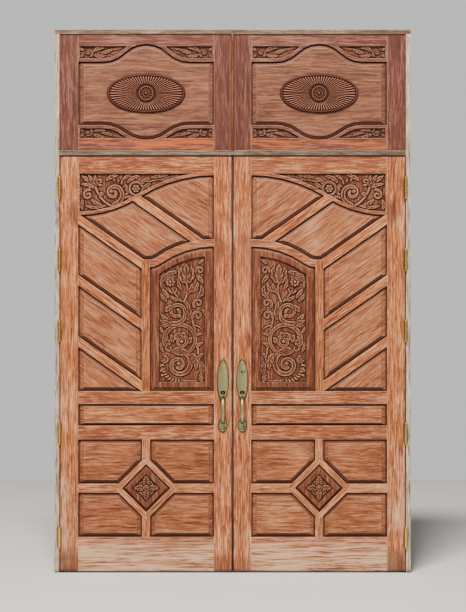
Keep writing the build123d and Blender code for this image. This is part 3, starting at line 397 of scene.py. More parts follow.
def rail_stains(finish, colour, x, z, streaks):
    """The foot rail is bleached along its grain, more so in its middle."""
    low = z.ramp(0.2, 0.13) * streaks.ramp(0.38, 0.6)
    colour = finish.mix(low * 0.85, colour, (220, 178, 142))
    # Painted shade in the gaps, along the leaf's edges and top
    return shade_the_gaps(finish, colour, x, z)


def orange_stain(finish, colour, x, z, streaks):
    """Fresh orange wood shows where the finish has worn off the over panels' foot rails."""
    low = z.ramp(2.315, 2.29) * streaks.ramp(0.47, 0.56)
    return finish.mix(low * 0.8, colour, (188, 92, 38))


def oval_stains(finish, colour, x, z, streaks):
    """The medallion's rim and the ring round its hub have kept their dark varnish."""
    rim = oval_share(x, z, medallion_place, (0.206, 0.101)).ramp(0.82, 0.87)
    ring = oval_share(x, z, medallion_place, (0.044, 0.044)).ramp(1.0, 0.8)
    return finish.coats(colour, (rim * 0.85, old_varnish), (ring * 0.6, old_varnish))


# %% [markdown]
# ## A wood for each member
# No two boards of a real door match. Each kind of member gets its own dark, middle and pale colour, the
# way its grain runs and how bleached it is. The carved woods are kept for the carvings further on.

# %% Give each member its wood
def dress(material, *names):
    """Gives CAD nodes their finish."""
    for name in names:
        node = nodes[name]
        node.data.materials.clear()
        node.data.materials.append(material)
    print(material.name, "on", *names)


def both(name):
    return f"left_{name}", f"right_{name}"


# Each wood below also sets the strength of its painted light and shade: the pale upward faces, the dark
# slopes and the dark hollows
dress(wood("hinge stile wood", seed=0.3, bleach=0.8, stain=stile_stains), *both("hinge_stile"))
dress(wood("meeting stile wood", seed=1.1, body=(174, 98, 56), stain=meeting_stains),
      *both("meeting_stile"))
dress(wood("centre post wood", seed=2.1, coarse=0.4, bleach=0.3, body=(150, 80, 38),
           pale=(200, 128, 78)), *both("centre_post"))
dress(wood("rail wood", run="level", seed=0.6, coarse=0.3, bleach=0.4, body=(148, 80, 46),
           pale=(204, 138, 92), stain=rail_stains), *both("rails"))
dress(wood("slanted bar wood", run="slant", seed=0.9, body=(178, 100, 54)), *both("slanted_bars"))
dress(wood("diamond bar wood", run="lattice", seed=1.4, body=(176, 104, 62), bleach=0.4),
      *both("diamond_lattice"))
dress(wood("slant panel wood", run="slant", seed=2.6, top_highlight_share=0.2, figure=2.0, coarse=0.3, bleach=0.2,
           body=(160, 94, 58), dark=(100, 46, 24), pale=(194, 132, 90)), *both("upper_panels"))
dress(wood("corner panel wood", run="level", seed=3.2, top_highlight_share=0.1, figure=2.5, coarse=0.2, bleach=0.3,
           body=(152, 86, 50), dark=(92, 40, 20), pale=(186, 122, 80)), *both("corner_panels"))
dress(wood("long panel wood", run="level", seed=3.9, top_highlight_share=0.2, coarse=0.3, bleach=0.2,
           body=(156, 86, 46), dark=(88, 38, 18), pale=(206, 140, 92)), *both("long_panel"))
dress(wood("over stile wood", seed=4.4, bleach=0.1, coarse=0.2, body=(96, 50, 36),
           dark=(72, 30, 22), pale=(134, 84, 70)), "over_stiles")
dress(wood("over rail wood", run="level", seed=5.1, bleach=0.1, coarse=0.4, body=(106, 58, 46),
           dark=(76, 32, 24), pale=(146, 94, 78), stain=orange_stain), "over_rails")
dress(wood("over panel wood", run="level", seed=5.8, top_highlight_share=0.1, figure=2.0, coarse=0.2, bleach=0.1,
           body=(122, 74, 52), dark=(78, 38, 26), pale=(152, 98, 70)), "over_panels")
dress(wood("frame wood", seed=6.6, bleach=0.5, body=(184, 158, 130), dark=(96, 66, 46),
           pale=(218, 204, 186), hollow_shading=0.8), *both("jamb"))
dress(wood("frame bar wood", run="level", seed=7.2, bleach=0.4, body=(102, 82, 66),
           dark=(60, 42, 30), pale=(136, 116, 96), hollow_shading=0.8), "head", "transom_bar")
dress(wood("mullion wood", seed=7.9, bleach=0.0, body=(118, 48, 32), dark=(76, 22, 10),
           pale=(178, 108, 86)), "mullion")
carved_wood = wood("carved wood", seed=8.4, bleach=0.1, body=(112, 60, 37), dark=(76, 31, 17),
                   pale=(156, 100, 70), carved=0.4, slope_light_shade=0.35, edge=0.35, gloss=0.2)
over_carving_wood = wood("over carving wood", run="level", seed=8.9, bleach=0.0, body=(104, 58, 40),
                         dark=(70, 30, 18), pale=(140, 88, 64), carved=0.3, crest=(184, 120, 88),
                         slope_light_shade=0.35, edge=0.2, gloss=0.2)
medallion_wood = wood("medallion wood", run="level", seed=5.8, bleach=0.0, body=(52, 21, 13),
                      dark=(34, 11, 7), pale=(92, 46, 32), carved=0.8, deep=0.75, slope_light_shade=0.3,
                      edge=0.1, crest=(190, 128, 102), gloss=0.12, stain=oval_stains)

# %% [markdown]
# ## Metals
# The hinges are polished brass that is still bright. The handles are cast bronze that has gone
# green-grey, rubbed to metal where a hand or thumb meets it. Bolts and plates are dull steel.

# %% Mix the metals
def metal(name, colour, dull, roughness, tarnish=0.5, metallic=1.0, rubbed=(226, 218, 176)):
    """Metal that has dulled in clouds and in its hollows, and is rubbed at its arrises."""
    finish = Finish(name)
    x, y, z = finish.place()
    cloud = finish.noise(finish.vector(x * 60, y * 60, z * 60), 4.0, 0.6, 0.4)
    specks = finish.noise(finish.vector(x * 420, y * 420, z * 420), 3.0, 0.6)
    hollow = finish.openness(0.012)
    rounded, turning = finish.arrises(0.0012)
    patina = cloud * 0.8 + specks * 0.3 + (1 - hollow) * 2.0
    patina = patina.ramp(0.85 - tarnish * 0.5, 1.05 - tarnish * 0.3)
    mixed = finish.coats(colour, (patina, dull), (turning.ramp(0.01, 0.1) * hollow * 0.7, rubbed))
    rough = roughness + patina * 0.25 + (specks - 0.5) * 0.15
    return finish.shade({"Base Color": mixed, "Roughness": rough,
                         "Normal": finish.bump(specks, 0.25, 0.0004, rounded),
                         "Metallic": metallic - patina * 0.55 * metallic})


brass = metal("hinge brass", (226, 190, 96), (176, 138, 66), 0.28, tarnish=0.2)
bronze = metal("aged bronze", (174, 164, 116), (80, 88, 58), 0.42, tarnish=0.75)
# Darker bronze: on the levers it is painted shade, so they read as the dark slot they sit in; the key plug is
# darker too
dark_bronze = metal("dark bronze", (84, 72, 50), (34, 29, 22), 0.5, tarnish=0.7,
                    rubbed=(150, 138, 104))
# Black for the strips in the leaves' gaps, which stand in for the shade there
gap_shade_black = metal("seal black", (20, 19, 18), (34, 32, 30), 0.8, metallic=0.0,
                   rubbed=(34, 32, 30))
steel = metal("bolt steel", (150, 148, 144), (104, 100, 96), 0.4, tarnish=0.4)
dress(bronze, "inside_plate", "inside_knob", "thumb_turn")
dress(steel, "strike_plate", "bolt_brackets", "lock_case", "latch_bolt", "deadbolt", "top_bolt",
      "bottom_bolt")


# %% Colour the floor
def pale_floor():
    finish = Finish("pale floor")
    x, y, z = finish.place()
    cloud = finish.noise(finish.vector(x * 3, y * 3, z), 3.0)
    colour = finish.mix(cloud, (214, 212, 208), (226, 225, 222))
    return finish.shade({"Base Color": colour, "Roughness": 0.7})


floor.data.materials.append(pale_floor())

# %% [markdown]
# ## Carving
# The scrolls, leaves and flowers were cut with gouges from a sunk ground. They could be built as many
# small tubes and leaves, but real carving is one skin: each form rises from the ground, has its own
# hollow or veins, and is parted from its neighbour by a cut. So each board starts as a flat grid, and
# every form raises the grid's points in turn, after cutting a trench round itself.

# %% Paths, and how far a point lies from them
def smooth(low, high, value):
    """0 at low, 1 at high and a soft run between them."""
    share = np.clip((value - low) / (high - low), 0, 1)
    return share * share * (3 - 2 * share)


def distance_to(path, u, v):
    """How far each point lies off a path, and how far along it the nearest place is, 0 to 1."""
    path = np.asarray(path, float)
    runs = np.diff(path, axis=0)
    lengths = np.hypot(runs[:, 0], runs[:, 1])
    reached = np.concatenate([[0], np.cumsum(lengths)])
    off, along = np.full(u.shape, 1e9), np.zeros(u.shape)
    for (x, y), (dx, dy), length, before in zip(path, runs, lengths, reached):
        share = np.clip(((u - x) * dx + (v - y) * dy) / length**2, 0, 1)
        ox, oy = u - x - share * dx, v - y - share * dy
        here = np.hypot(ox, oy)
        closer = here < off
        off = np.where(closer, here, off)
        along = np.where(closer, (before + share * length) / reached[-1], along)
    return off, along


def bend(start, middle, end, steps=14):
    """Points on a curve that sets out and arrives along the lines to its middle point."""
    t = np.linspace(0, 1, steps)[:, None]
    return (1 - t) ** 2 * np.array(start) + 2 * t * (1 - t) * np.array(middle) + t**2 * np.array(end)


def spiral(centre, start, turns, outer, inner, hand=1):
    """A path that winds inwards from an angle in degrees, anticlockwise for hand 1."""
    share = np.linspace(0, 1, max(12, int(30 * turns)))
    angle = radians(start) + hand * 2 * pi * turns * share
    radius = outer * (inner / outer) ** share
    return np.stack([centre[0] + radius * np.cos(angle), centre[1] + radius * np.sin(angle)], 1)


# %% Forms that are laid on the ground
class Carving:
    """Heights over a sunk ground, in millimetres, at points (u, v) of a board."""

    def __init__(self, u, v):
        self.u, self.v = u, v
        self.height = 0.35 * np.sin(u * 0.41 + 1.3 * np.sin(v * 0.23)) * np.sin(v * 0.37)

    def lay(self, reach, top):
        """A form on what is there: reach is 0 on its ridge and 1 at its edge."""
        trench = smooth(1.45, 1.0, reach) * (reach >= 1)
        self.height = self.height * (1 - 0.75 * trench) - 0.8 * trench
        edge = smooth(1.0, 0.72, reach)
        self.height = self.height * (1 - edge) + top * edge

    def scroll(self, centre, start, turns, outer, inner, width, top, hand=1, end=0.55):
        """A band along a spiral: hollow along its middle, narrower towards its end."""
        off, along = distance_to(spiral(centre, start, turns, outer, inner, hand), self.u, self.v)
        reach = off / (0.64 * width * (1 - (1 - end) * along) * smooth(-0.03, 0.06, along))
        self.lay(reach, top * (0.55 + 0.45 * np.clip(reach, 0, 1) ** 2))

    def stalk(self, foot, middle, tip, width, top, end=0.5, steps=14):
        """A round stem that thins towards its tip."""
        off, along = distance_to(bend(foot, middle, tip, steps), self.u, self.v)
        reach = off / (width / 2 * (1 - (1 - end) * along))
        self.lay(reach, top * (1 - 0.35 * np.clip(reach, 0, 1) ** 2))

    def frond(self, foot, middle, tip, width, lobes, top, steps=14):
        """A leaf with rounded lobes, a sunk midrib and slanting veins."""
        off, along = distance_to(bend(foot, middle, tip, steps), self.u, self.v)
        swell = np.sin(pi * np.clip(along, 0.02, 0.995) ** 0.8) ** 0.6
        notch = np.abs(np.sin(pi * (lobes * along + 0.15))) ** 0.5
        half = 0.78 * width * swell * (0.62 + 0.38 * notch)
        reach = off / np.maximum(half, 0.3)
        vein = np.cos(2 * pi * (lobes * along - 0.55 * np.clip(reach, 0, 1.2)) + 2.2)
        body = 0.74 + 0.2 * vein * np.clip(reach * 1.6, 0, 1) - 0.3 * np.exp(-(off / 1.5) ** 2)
        self.lay(reach, top * body)

    def button(self, centre, radius, top, ring=0.0):
        """A domed boss, with a groove round it at a share of its radius."""
        off = np.hypot(self.u - centre[0], self.v - centre[1])
        reach = off / radius
        body = np.sqrt(np.clip(1 - 0.75 * reach**2, 0.05, 1))
        if ring:
            body = body - 0.45 * np.exp(-(((reach - ring) / 0.13) ** 2))
        self.lay(reach, top * body)

    def flower(self, centre, radius, petals, top):
        """Cupped petals round a button."""
        angle = np.arctan2(self.v - centre[1], self.u - centre[0])
        off = np.hypot(self.u - centre[0], self.v - centre[1])
        petal = np.abs(np.cos(angle * petals / 2))
        reach = off / (radius * (0.62 + 0.38 * petal**0.6))
        cup = 0.45 + 0.55 * np.clip(off / radius, 0, 1) ** 0.8 - 0.35 * (1 - petal) ** 3
        self.lay(reach, top * cup)
        self.button(centre, radius * 0.3, top * 0.95)

    def comb(self, path, length, width, count, top, side=1):
        """A row of rounded leaflets that stand out from a path, like a cock's comb."""
        path = np.asarray(path, float)
        for share in np.linspace(0.06, 0.94, count):
            place = share * (len(path) - 1)
            first = min(int(place), len(path) - 2)
            foot = path[first] + (path[first + 1] - path[first]) * (place - first)
            run = path[first + 1] - path[first]
            run = run / np.hypot(*run)
            out = np.array([-run[1], run[0]]) * side
            reach_out = length * (0.55 + 0.45 * sin(pi * share))
            tip = foot + (out * 0.9 + run * 0.45) * reach_out
            self.stalk(foot, foot + out * reach_out * 0.6, tip, width, top, 0.75, 5)


# %% [markdown]
# ## Boards and bodies
# Two kinds of form are enough for all that follows. A board is a grid whose points are laid out in
# space, with its rim pulled back to a flat rear. A body is a stack of rings, each its own row of the
# grid, joined at the seam and closed at both ends. Both are made in edit mode, as by hand.

# %% Work on a mesh in edit mode
def full_turn(count):
    """Angles evenly round a circle."""
    return np.linspace(0, 2 * pi, count, endpoint=False)


def in_edit_mode(*steps):
    """Runs operators on the active mesh in edit mode."""
    bpy.ops.object.mode_set(mode="EDIT")
    for step, settings in steps:
        step(**settings)
    bpy.ops.object.mode_set(mode="OBJECT")


def read_points(piece):
    points = np.empty(len(piece.data.vertices) * 3, np.float32)
    piece.data.vertices.foreach_get("co", points)
    return points.reshape(-1, 3).astype(float)


def write_points(piece, points):
    piece.data.vertices.foreach_set("co", np.asarray(points, np.float32).ravel())
    piece.data.update()


mesh_ops = bpy.ops.mesh
ALL = (mesh_ops.select_all, {"action": "SELECT"})
NONE = (mesh_ops.select_all, {"action": "DESELECT"})
OUTWARD = (mesh_ops.normals_make_consistent, {"inside": False})
MERGE = (mesh_ops.remove_doubles, {"threshold": 0.00001})
CLOSE = (mesh_ops.fill_holes, {"sides": 0})


# %% Build boards and bodies
def laid_out_grid(name, points):
    """A grid with its corners at rows of points (x, depth, z) in millimetres."""
    rows, columns = points.shape[0] - 1, points.shape[1] - 1
    deselect_all()
    mesh_ops.primitive_grid_add(x_subdivisions=columns, y_subdivisions=rows, size=2)
    made = bpy.context.active_object
    made.name = made.data.name = name
    flat = read_points(made)
    column = np.rint((flat[:, 0] + 1) / 2 * columns).astype(int)
    row = np.rint((flat[:, 1] + 1) / 2 * rows).astype(int)
    write_points(made, points[row, column] / 1000)
    return made, row, column


def ringed_body(name, rings, smooth_angle=25):
    """A closed body: rings of points, one inside or above the other, with both ends filled."""
    rings = np.array(rings, float)
    rings = np.concatenate([rings, rings[:, :1]], axis=1)
    body, row, column = laid_out_grid(name, rings)
    in_edit_mode(ALL, MERGE, CLOSE, ALL, OUTWARD)
    bpy.ops.object.shade_smooth_by_angle(angle=radians(smooth_angle))
    return body


def soften(field, reach):
    """The field with each point replaced by the mean of its neighbourhood."""
    for axis in (0, 1):
        total = field.copy()
        for step in range(1, reach + 1):
            before = np.take(field, np.maximum(np.arange(field.shape[axis]) - step, 0), axis)
            last = field.shape[axis] - 1
            after = np.take(field, np.minimum(np.arange(field.shape[axis]) + step, last), axis)
            total = total + before + after
        field = total / (2 * reach + 1)
    return field


crest_reach = 4
crest_height = 1.6


def carved_board(name, columns, rows, point_at, back):
    """A closed board: its face is a grid that point_at lays out in millimetres, its back is flat."""
    across, up = np.meshgrid(np.linspace(0, 1, columns + 1), np.linspace(0, 1, rows + 1))
    x, y, z = point_at(across, up)
    board, row, column = laid_out_grid(name, np.stack([x, y, z], -1))
    crest = board.data.attributes.new("crest", "FLOAT", "POINT")
    # How far each point stands out from its neighbours, for the finish to paint highlights on the crests and
    # shade in the valleys
    stands_out = np.clip((soften(y, crest_reach) - y) / crest_height, -1, 1)
    crest.data.foreach_set("value", stands_out[row, column].astype(np.float32))
    border = (mesh_ops.select_non_manifold, {})
    in_edit_mode(ALL, MERGE, NONE, border, (mesh_ops.extrude_region_move, {}))
    points = read_points(board)
    picked = np.zeros(len(points), bool)
    board.data.vertices.foreach_get("select", picked)
    points[picked, 1] = back / 1000
    write_points(board, points)
    in_edit_mode((mesh_ops.edge_face_add, {}), ALL, OUTWARD)
    bpy.ops.object.shade_smooth_by_angle(angle=radians(55))
    return board


# %% Copy, join and settle pieces
def own_copy(piece, name, shift=(0, 0, 0), mirror_at=None, flip_at=None):
    """A copy with its own mesh, moved, or mirrored left to right or top to bottom at a place."""
    deselect_all()
    copied = piece.copy()
    copied.data = piece.data.copy()
    copied.name = copied.data.name = name
    bpy.context.scene.collection.objects.link(copied)
    points = read_points(copied)
    if mirror_at is not None:
        points[:, 0] = 2 * mirror_at / 1000 - points[:, 0]
    if flip_at is not None:
        points[:, 2] = 2 * flip_at / 1000 - points[:, 2]
    write_points(copied, points + np.array(shift) / 1000)
    if (mirror_at is None) != (flip_at is None):
        bpy.context.view_layer.objects.active = copied
        copied.select_set(True)
        in_edit_mode(ALL, OUTWARD)
    return copied


def joined(name, *pieces):
    deselect_all()
    for piece in pieces:
        piece.select_set(True)
    bpy.context.view_layer.objects.active = pieces[0]
    bpy.ops.object.join()
    pieces[0].name = pieces[0].data.name = name
    return pieces[0]


def settle(piece, material, body, slot, *stands_for):
    """Gives a finished piece its material, its body and the CAD nodes it stands for."""
    piece.data.materials.clear()
    piece.data.materials.append(material)
    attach(piece, body)
    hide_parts(*stands_for)
    count = sum(len(face.vertices) - 2 for face in piece.data.polygons)
    print(piece.name, count, "triangles")


def settle_both(left, material, slot, name):
    """The same for a left piece and its mirror image on the other leaf."""
    right = own_copy(left, "right_" + left.name, mirror_at=0)
    left.name = "left_" + left.name
    for hand, piece in (("left", left), ("right", right)):
        settle(piece, material, f"{hand}_leaf", slot, f"{hand}_{name}")


# %% [markdown]
# ## The tall carved panels
# Each is a raised panel like its neighbours, with a sunk field full of vine work: a comb-edged scroll at
# the foot, a fan of leaflets over it, a daisy and a tulip at the head, and one stem up the side. The
# body is its outline drawn again and again, each time further in and at its own depth, as the profile
# plane would cut it.

# %% Places on a leaf, in millimetres from its hinge stile's inner edge and its foot
leaf_left = -818.5
leaf_foot = 10.0


def ogee_height(u, start, end, turn_share):
    """Height of two tangent arcs between level ends, over u."""
    run, rise = end[0] - start[0], end[1] - start[1]
    angle = 2 * atan(rise / run)
    first_radius = turn_share * run / sin(angle)
    second_radius = (1 - turn_share) * run / sin(angle)
    u = np.clip(u, start[0], end[0])
    first = first_radius - np.sqrt(np.maximum(first_radius**2 - (u - start[0]) ** 2, 0))
    second = second_radius - np.sqrt(np.maximum(second_radius**2 - (end[0] - u) ** 2, 0))
    return np.where(u < start[0] + turn_share * run, start[1] + first, end[1] - second)


tall_left, tall_right, tall_foot = 379.0, 720.0, 953.0
arch_low, arch_high, arch_turn_share = 1611, 1720, 0.17
# The head's edge runs aslant, so an inset from it is a little larger when measured upright
upright_inset = 1.05
tall_field_margin = 48.0
panel_back = 19.7
tongue_depth = 10.3
slope_top_depth = 4.0
field_depth = 1.0
sunk_depth = 9.0
tongue = 7.0


def arch(u):
    return ogee_height(u, (tall_left, arch_low), (tall_right, arch_high), arch_turn_share)


# %% Shape the tall panel's body
def tall_ring(inset, depth):
    low_left, low_right = tall_left + inset, tall_right - inset
    u = np.linspace(low_right, low_left, 48)
    head = arch(u) - inset * upright_inset
    u = np.concatenate([[low_left, low_right], u])
    v = np.concatenate([[tall_foot + inset, tall_foot + inset], head])
    return np.stack([u + leaf_left, np.full(u.shape, depth), v + leaf_foot], 1)


panel_profile = [(-tongue, panel_back), (-tongue, tongue_depth), (0, tongue_depth),
                 (20, slope_top_depth), (20.8, field_depth), (tall_field_margin, field_depth),
                 (tall_field_margin + 1.2, sunk_depth)]
tall_body = ringed_body("tall_body", [tall_ring(*place) for place in panel_profile])


# %% Draw the lower half of the vine
def lower_vine(work):
    # Main stem up the side away from the post
    work.stalk((655, 1002), (640, 1150), (612, 1318), 13, 4.0, 0.7)
    work.stalk((612, 1290), (600, 1380), (560, 1420), 10, 4.2)
    work.stalk((612, 1300), (640, 1300), (661, 1275), 9, 3.6)
    # The foot's comb-edged scroll
    ring = spiral((531, 1088), 100, 0.86, 82, 78, -1)
    work.comb(ring[14:], 15, 11, 11, 4.6)
    work.scroll((532, 1092), 110, 1.62, 84, 17, 27, 6.4, -1)
    work.button((533, 1098), 13, 6.6, ring=0.55)
    work.frond((600, 1150), (632, 1120), (622, 1065), 26, 4, 5.2)
    work.comb(bend((470, 1140), (440, 1095), (450, 1030)), 16, 12, 5, 5.0, side=-1)
    work.scroll((464, 1122), 200, 1.1, 19, 5, 9, 5.0)
    work.scroll((648, 1018), 120, 1.15, 18, 4, 9, 4.8, -1)
    work.frond((652, 1040), (670, 1060), (655, 1110), 16, 3, 4.0)
    # Rounded leaflets over the middle scroll
    work.scroll((543, 1222), 205, 0.92, 88, 72, 22, 5.2, -1)
    work.scroll((545, 1214), 150, 1.35, 44, 12, 20, 6.4, -1)
    work.button((548, 1214), 10, 6.6)
    leaflets = [((500, 1212), (486, 1250), 20), ((520, 1222), (518, 1256), 19),
                ((556, 1236), (570, 1262), 21), ((590, 1205), (606, 1236), 17)]
    for foot, tip, broad in leaflets:
        work.frond(foot, (foot[0], tip[1]), tip, broad, 1, 6.2, 6)
    work.scroll((474, 1216), 80, 1.1, 22, 6, 11, 5.0)
    work.scroll((482, 1180), 70, 0.9, 24, 9, 11, 4.8)


# %% Draw the upper half of the vine
def upper_vine(work):
    # Upper scroll with its petal
    work.scroll((520, 1372), 235, 1.5, 68, 15, 22, 6.2)
    work.button((537, 1350), 12, 6.4, ring=0.5)
    work.frond((500, 1400), (482, 1398), (462, 1372), 24, 2, 5.0)
    work.frond((580, 1330), (602, 1372), (570, 1432), 18, 3, 4.6)
    # Feathered leaves against the post side
    feathers = [
        ((476, 1330), (452, 1338), (440, 1362)), ((478, 1318), (450, 1316), (434, 1330)),
        ((482, 1306), (458, 1296), (440, 1302)), ((470, 1430), (450, 1440), (438, 1470)),
        ((480, 1446), (462, 1470), (446, 1496))]
    for foot, middle, tip in feathers:
        work.frond(foot, middle, tip, 17, 2, 5.0, 8)
    # Curls on the lock side
    work.scroll((634, 1352), 215, 1.2, 31, 7, 13, 5.2, -1)
    work.scroll((637, 1418), 230, 1.15, 30, 7, 13, 5.2, -1)
    work.frond((630, 1448), (668, 1468), (650, 1512), 20, 3, 4.8)
    work.frond((655, 1385), (672, 1380), (668, 1352), 12, 2, 4.2)
    # Daisy, its cup and stem
    work.stalk((548, 1428), (520, 1455), (502, 1486), 10, 4.4, 0.8)
    work.frond((540, 1440), (508, 1432), (488, 1458), 16, 3, 4.6)
    work.scroll((503, 1492), 190, 0.5, 20, 18, 9, 5.0)
    work.flower((488, 1531), 29, 8, 6.2)
    # Tulip and its stem
    work.stalk((560, 1425), (590, 1480), (572, 1532), 11, 4.6, 0.8)
    work.frond((578, 1470), (606, 1490), (604, 1524), 18, 3, 4.6)
    work.frond((566, 1528), (532, 1556), (548, 1612), 26, 3, 5.6)
    work.frond((578, 1528), (612, 1556), (598, 1614), 26, 3, 5.6)
    work.frond((572, 1524), (573, 1570), (573, 1628), 30, 3, 6.6)
    # Leaves that fill the room along both edges
    fillers = [
        ((638, 1122), (648, 1150), (665, 1152), 13), ((628, 1182), (640, 1210), (664, 1208), 13),
        ((622, 1240), (636, 1262), (660, 1254), 12), ((452, 1160), (436, 1180), (438, 1212), 13),
        ((456, 1262), (438, 1268), (437, 1296), 12), ((545, 1010), (585, 1000), (632, 1008), 11),
        ((548, 1490), (526, 1512), (532, 1552), 15), ((606, 1478), (632, 1492), (634, 1530), 15),
        ((440, 1500), (436, 1540), (452, 1580), 12)]
    for foot, middle, tip, broad in fillers:
        work.frond(foot, middle, tip, broad, 3, 4.6, 8)
    # The corner curl under the arch
    work.scroll((646, 1592), 210, 1.1, 24, 7, 12, 5.2, -1)
    work.frond((628, 1562), (650, 1548), (662, 1522), 18, 3, 4.8)
    work.frond((640, 1626), (655, 1645), (668, 1650), 13, 2, 4.4)
    work.frond((520, 1585), (480, 1575), (446, 1556), 22, 3, 4.8)
    work.frond((512, 1560), (470, 1552), (440, 1530), 14, 2, 4.2)


# %% Carve the tall panels
carving_ground = 0.6


def vine(u, v):
    work = Carving(u, v)
    lower_vine(work)
    upper_vine(work)
    return np.clip(work.height, -0.6, 7.4)


def tall_point(s, t):
    margin = tall_field_margin + 0.9
    u = tall_left + margin + s * (tall_right - tall_left - 2 * margin)
    low, high = tall_foot + margin, arch(u) - upright_inset * margin
    v = low + t * (high - low)
    return u + leaf_left, sunk_depth - carving_ground - vine(u, v), v + leaf_foot


tall_board = carved_board("tall_board", 150, 400, tall_point, sunk_depth + 1)
tall_panel = joined("tall_panel", tall_body, tall_board)
settle_both(tall_panel, carved_wood, "carved_wood", "carved_panel")

# %% [markdown]
# ## The diamonds
# A small raised panel set on its corner. Its sunk field holds a ringed boss with four leaves that
# point into the corners, and a curl on each side of every leaf.

# %% Carve the diamonds
diamond_u, diamond_v = 360.0, 438.5
diamond_reach = 128.0
diamond_field_reach = 76.0


def diamond_ring(reach, depth):
    corners = [(0, -1), (1, 0), (0, 1), (-1, 0)]
    return [(diamond_u + leaf_left + x * reach, depth, diamond_v + leaf_foot + z * reach) for x, z in corners]


diamond_profile = [(diamond_reach + tongue * sqrt(2), panel_back),
                   (diamond_reach + tongue * sqrt(2), tongue_depth), (diamond_reach, tongue_depth),
                   (diamond_reach - 20, slope_top_depth), (diamond_reach - 21, field_depth),
                   (diamond_field_reach, field_depth), (diamond_field_reach - 1.6, sunk_depth)]
diamond_body = ringed_body("diamond_body", [diamond_ring(*place) for place in diamond_profile])


def diamond_carving(a, b):
    work = Carving(a, b)
    for turn in range(4):
        dx, dz = cos(turn * pi / 2), sin(turn * pi / 2)
        for hand in (1, -1):
            curl = (dx * 27 - dz * 21 * hand, dz * 27 + dx * 21 * hand)
            work.scroll(curl, 90 * turn + 180, 1.1, 12, 4, 7, 4.6, hand)
    for turn in range(4):
        dx, dz = cos(turn * pi / 2), sin(turn * pi / 2)
        work.frond((dx * 10, dz * 10), (dx * 40, dz * 40), (dx * 66, dz * 66), 26, 5, 5.8)
    work.button((0, 0), 17, 6.4, ring=0.6)
    return np.clip(work.height, -0.6, 7.2)


def diamond_point(s, t):
    reach = diamond_field_reach - 1.5
    a, b = (s - t) * reach, (s + t - 1) * reach
    face = sunk_depth - carving_ground - diamond_carving(a, b)
    return a + diamond_u + leaf_left, face, b + diamond_v + leaf_foot


diamond_board = carved_board("diamond_board", 90, 90, diamond_point, sunk_depth + 1)
settle_both(joined("diamond_panel", diamond_body, diamond_board), carved_wood, "carved_wood",
            "carved_diamond")

# %% [markdown]
# ## The carved boards over the ogee rail and in the corners of the over panels
# Each of these boards is let into a recess in a rail, so only its carved face shows. Over the ogee a
# large scroll fills the deep end, a rose sits in a teardrop, and a leaf tapers away under the top
# rail. The over panels have eight smaller ones of one pattern, turned over for each corner.

# %% Carve the boards over the ogee rail
opening_width = 720
ogee_low, ogee_high, ogee_turn_share = 1887, 2098, 0.445
spandrel_top = 2105.8
spandrel_run = 604
spandrel_ground = 8.0
board_left = 8.2
board_margin = 16.2


def spandrel_low(u):
    """The board's lower edge, which keeps its margin over the ogee."""
    return ogee_height(u, (0, ogee_low), (opening_width, ogee_high), ogee_turn_share) + board_margin


def spandrel_vine(u, v):
    work = Carving(u, v)
    # Leaves that spread into the deep corner
    for tip, broad in (((16, 2096), 20), ((52, 2100), 18), ((88, 2100), 16), ((14, 2050), 16)):
        work.frond((92, 2030), ((92 + tip[0]) / 2, (2030 + tip[1]) / 2 + 8), tip, broad, 3, 4.8)
    work.scroll((52, 1992), 60, 1.3, 31, 7, 13, 5.4)
    work.frond((24, 1966), (14, 1940), (22, 1912), 16, 3, 4.6)
    work.frond((70, 1968), (98, 1938), (132, 1938), 17, 3, 4.6)
    # The big scroll
    work.stalk((92, 2030), (118, 1960), (170, 1936), 13, 4.4, 0.9)
    work.scroll((186, 2002), 262, 1.42, 64, 12, 24, 6.6)
    work.button((176, 2010), 12, 6.6, ring=0.55)
    work.flower((124, 1997), 14, 5, 5.2)
    work.scroll((114, 2064), 300, 1.1, 21, 6, 10, 5.0, -1)
    work.frond((150, 2070), (176, 2096), (214, 2096), 18, 3, 4.8)
    work.comb(spiral((186, 2002), 330, 0.34, 66, 66), 15, 10, 7, 4.8, side=-1)
    work.frond((40, 1935), (88, 1916), (150, 1938), 14, 4, 4.2)
    work.frond((14, 2030), (8, 2010), (18, 1990), 12, 2, 4.2)
    work.frond((236, 2070), (250, 2094), (290, 2099), 13, 3, 4.4)
    work.frond((262, 2000), (262, 2030), (246, 2052), 13, 2, 4.6)
    # The rose in its teardrop
    work.frond((248, 1984), (274, 1976), (296, 1986), 13, 2, 4.4)
    work.scroll((306, 2026), 250, 1.0, 36, 34, 11, 5.0, end=0.8)
    work.flower((306, 2025), 23, 6, 6.0)
    work.frond((262, 2058), (284, 2090), (330, 2092), 17, 3, 4.8)
    # Leaves that cross, and the tail under the top rail
    work.frond((338, 2030), (360, 2034), (384, 2056), 17, 2, 5.0)
    work.frond((334, 2052), (352, 2076), (384, 2080), 17, 2, 5.2)
    work.stalk((370, 2062), (420, 2070), (500, 2094), 9, 4.2, 0.5)
    work.frond((384, 2084), (430, 2092), (478, 2098), 15, 4, 4.8)
    work.frond((430, 2072), (480, 2076), (540, 2099), 14, 5, 4.8)
    return np.clip(work.height, -0.6, 7.0)


def spandrel_point(s, t):
    u = board_left + s * spandrel_run
    low = spandrel_low(u)
    v = low + t * (spandrel_top - low)
    return u + leaf_left, spandrel_ground - spandrel_vine(u, v), v + leaf_foot


settle_both(carved_board("spandrel_board", 290, 96, spandrel_point, 12.0), carved_wood,
            "carved_wood", "carved_spandrel")

# %% Carve the corner boards of the over panels
over_foot = 2242.0
over_middle_u = 360.0
over_field_front = 4.0
over_board_run = 258
over_board_high = 66
level_run = 130


def over_edge(u, side, crown):
    """The panel's curved edge: level at its side, then an ogee to its crown."""
    return np.where(u < level_run, side, ogee_height(u, (level_run, side), (over_middle_u, crown), 0.5))


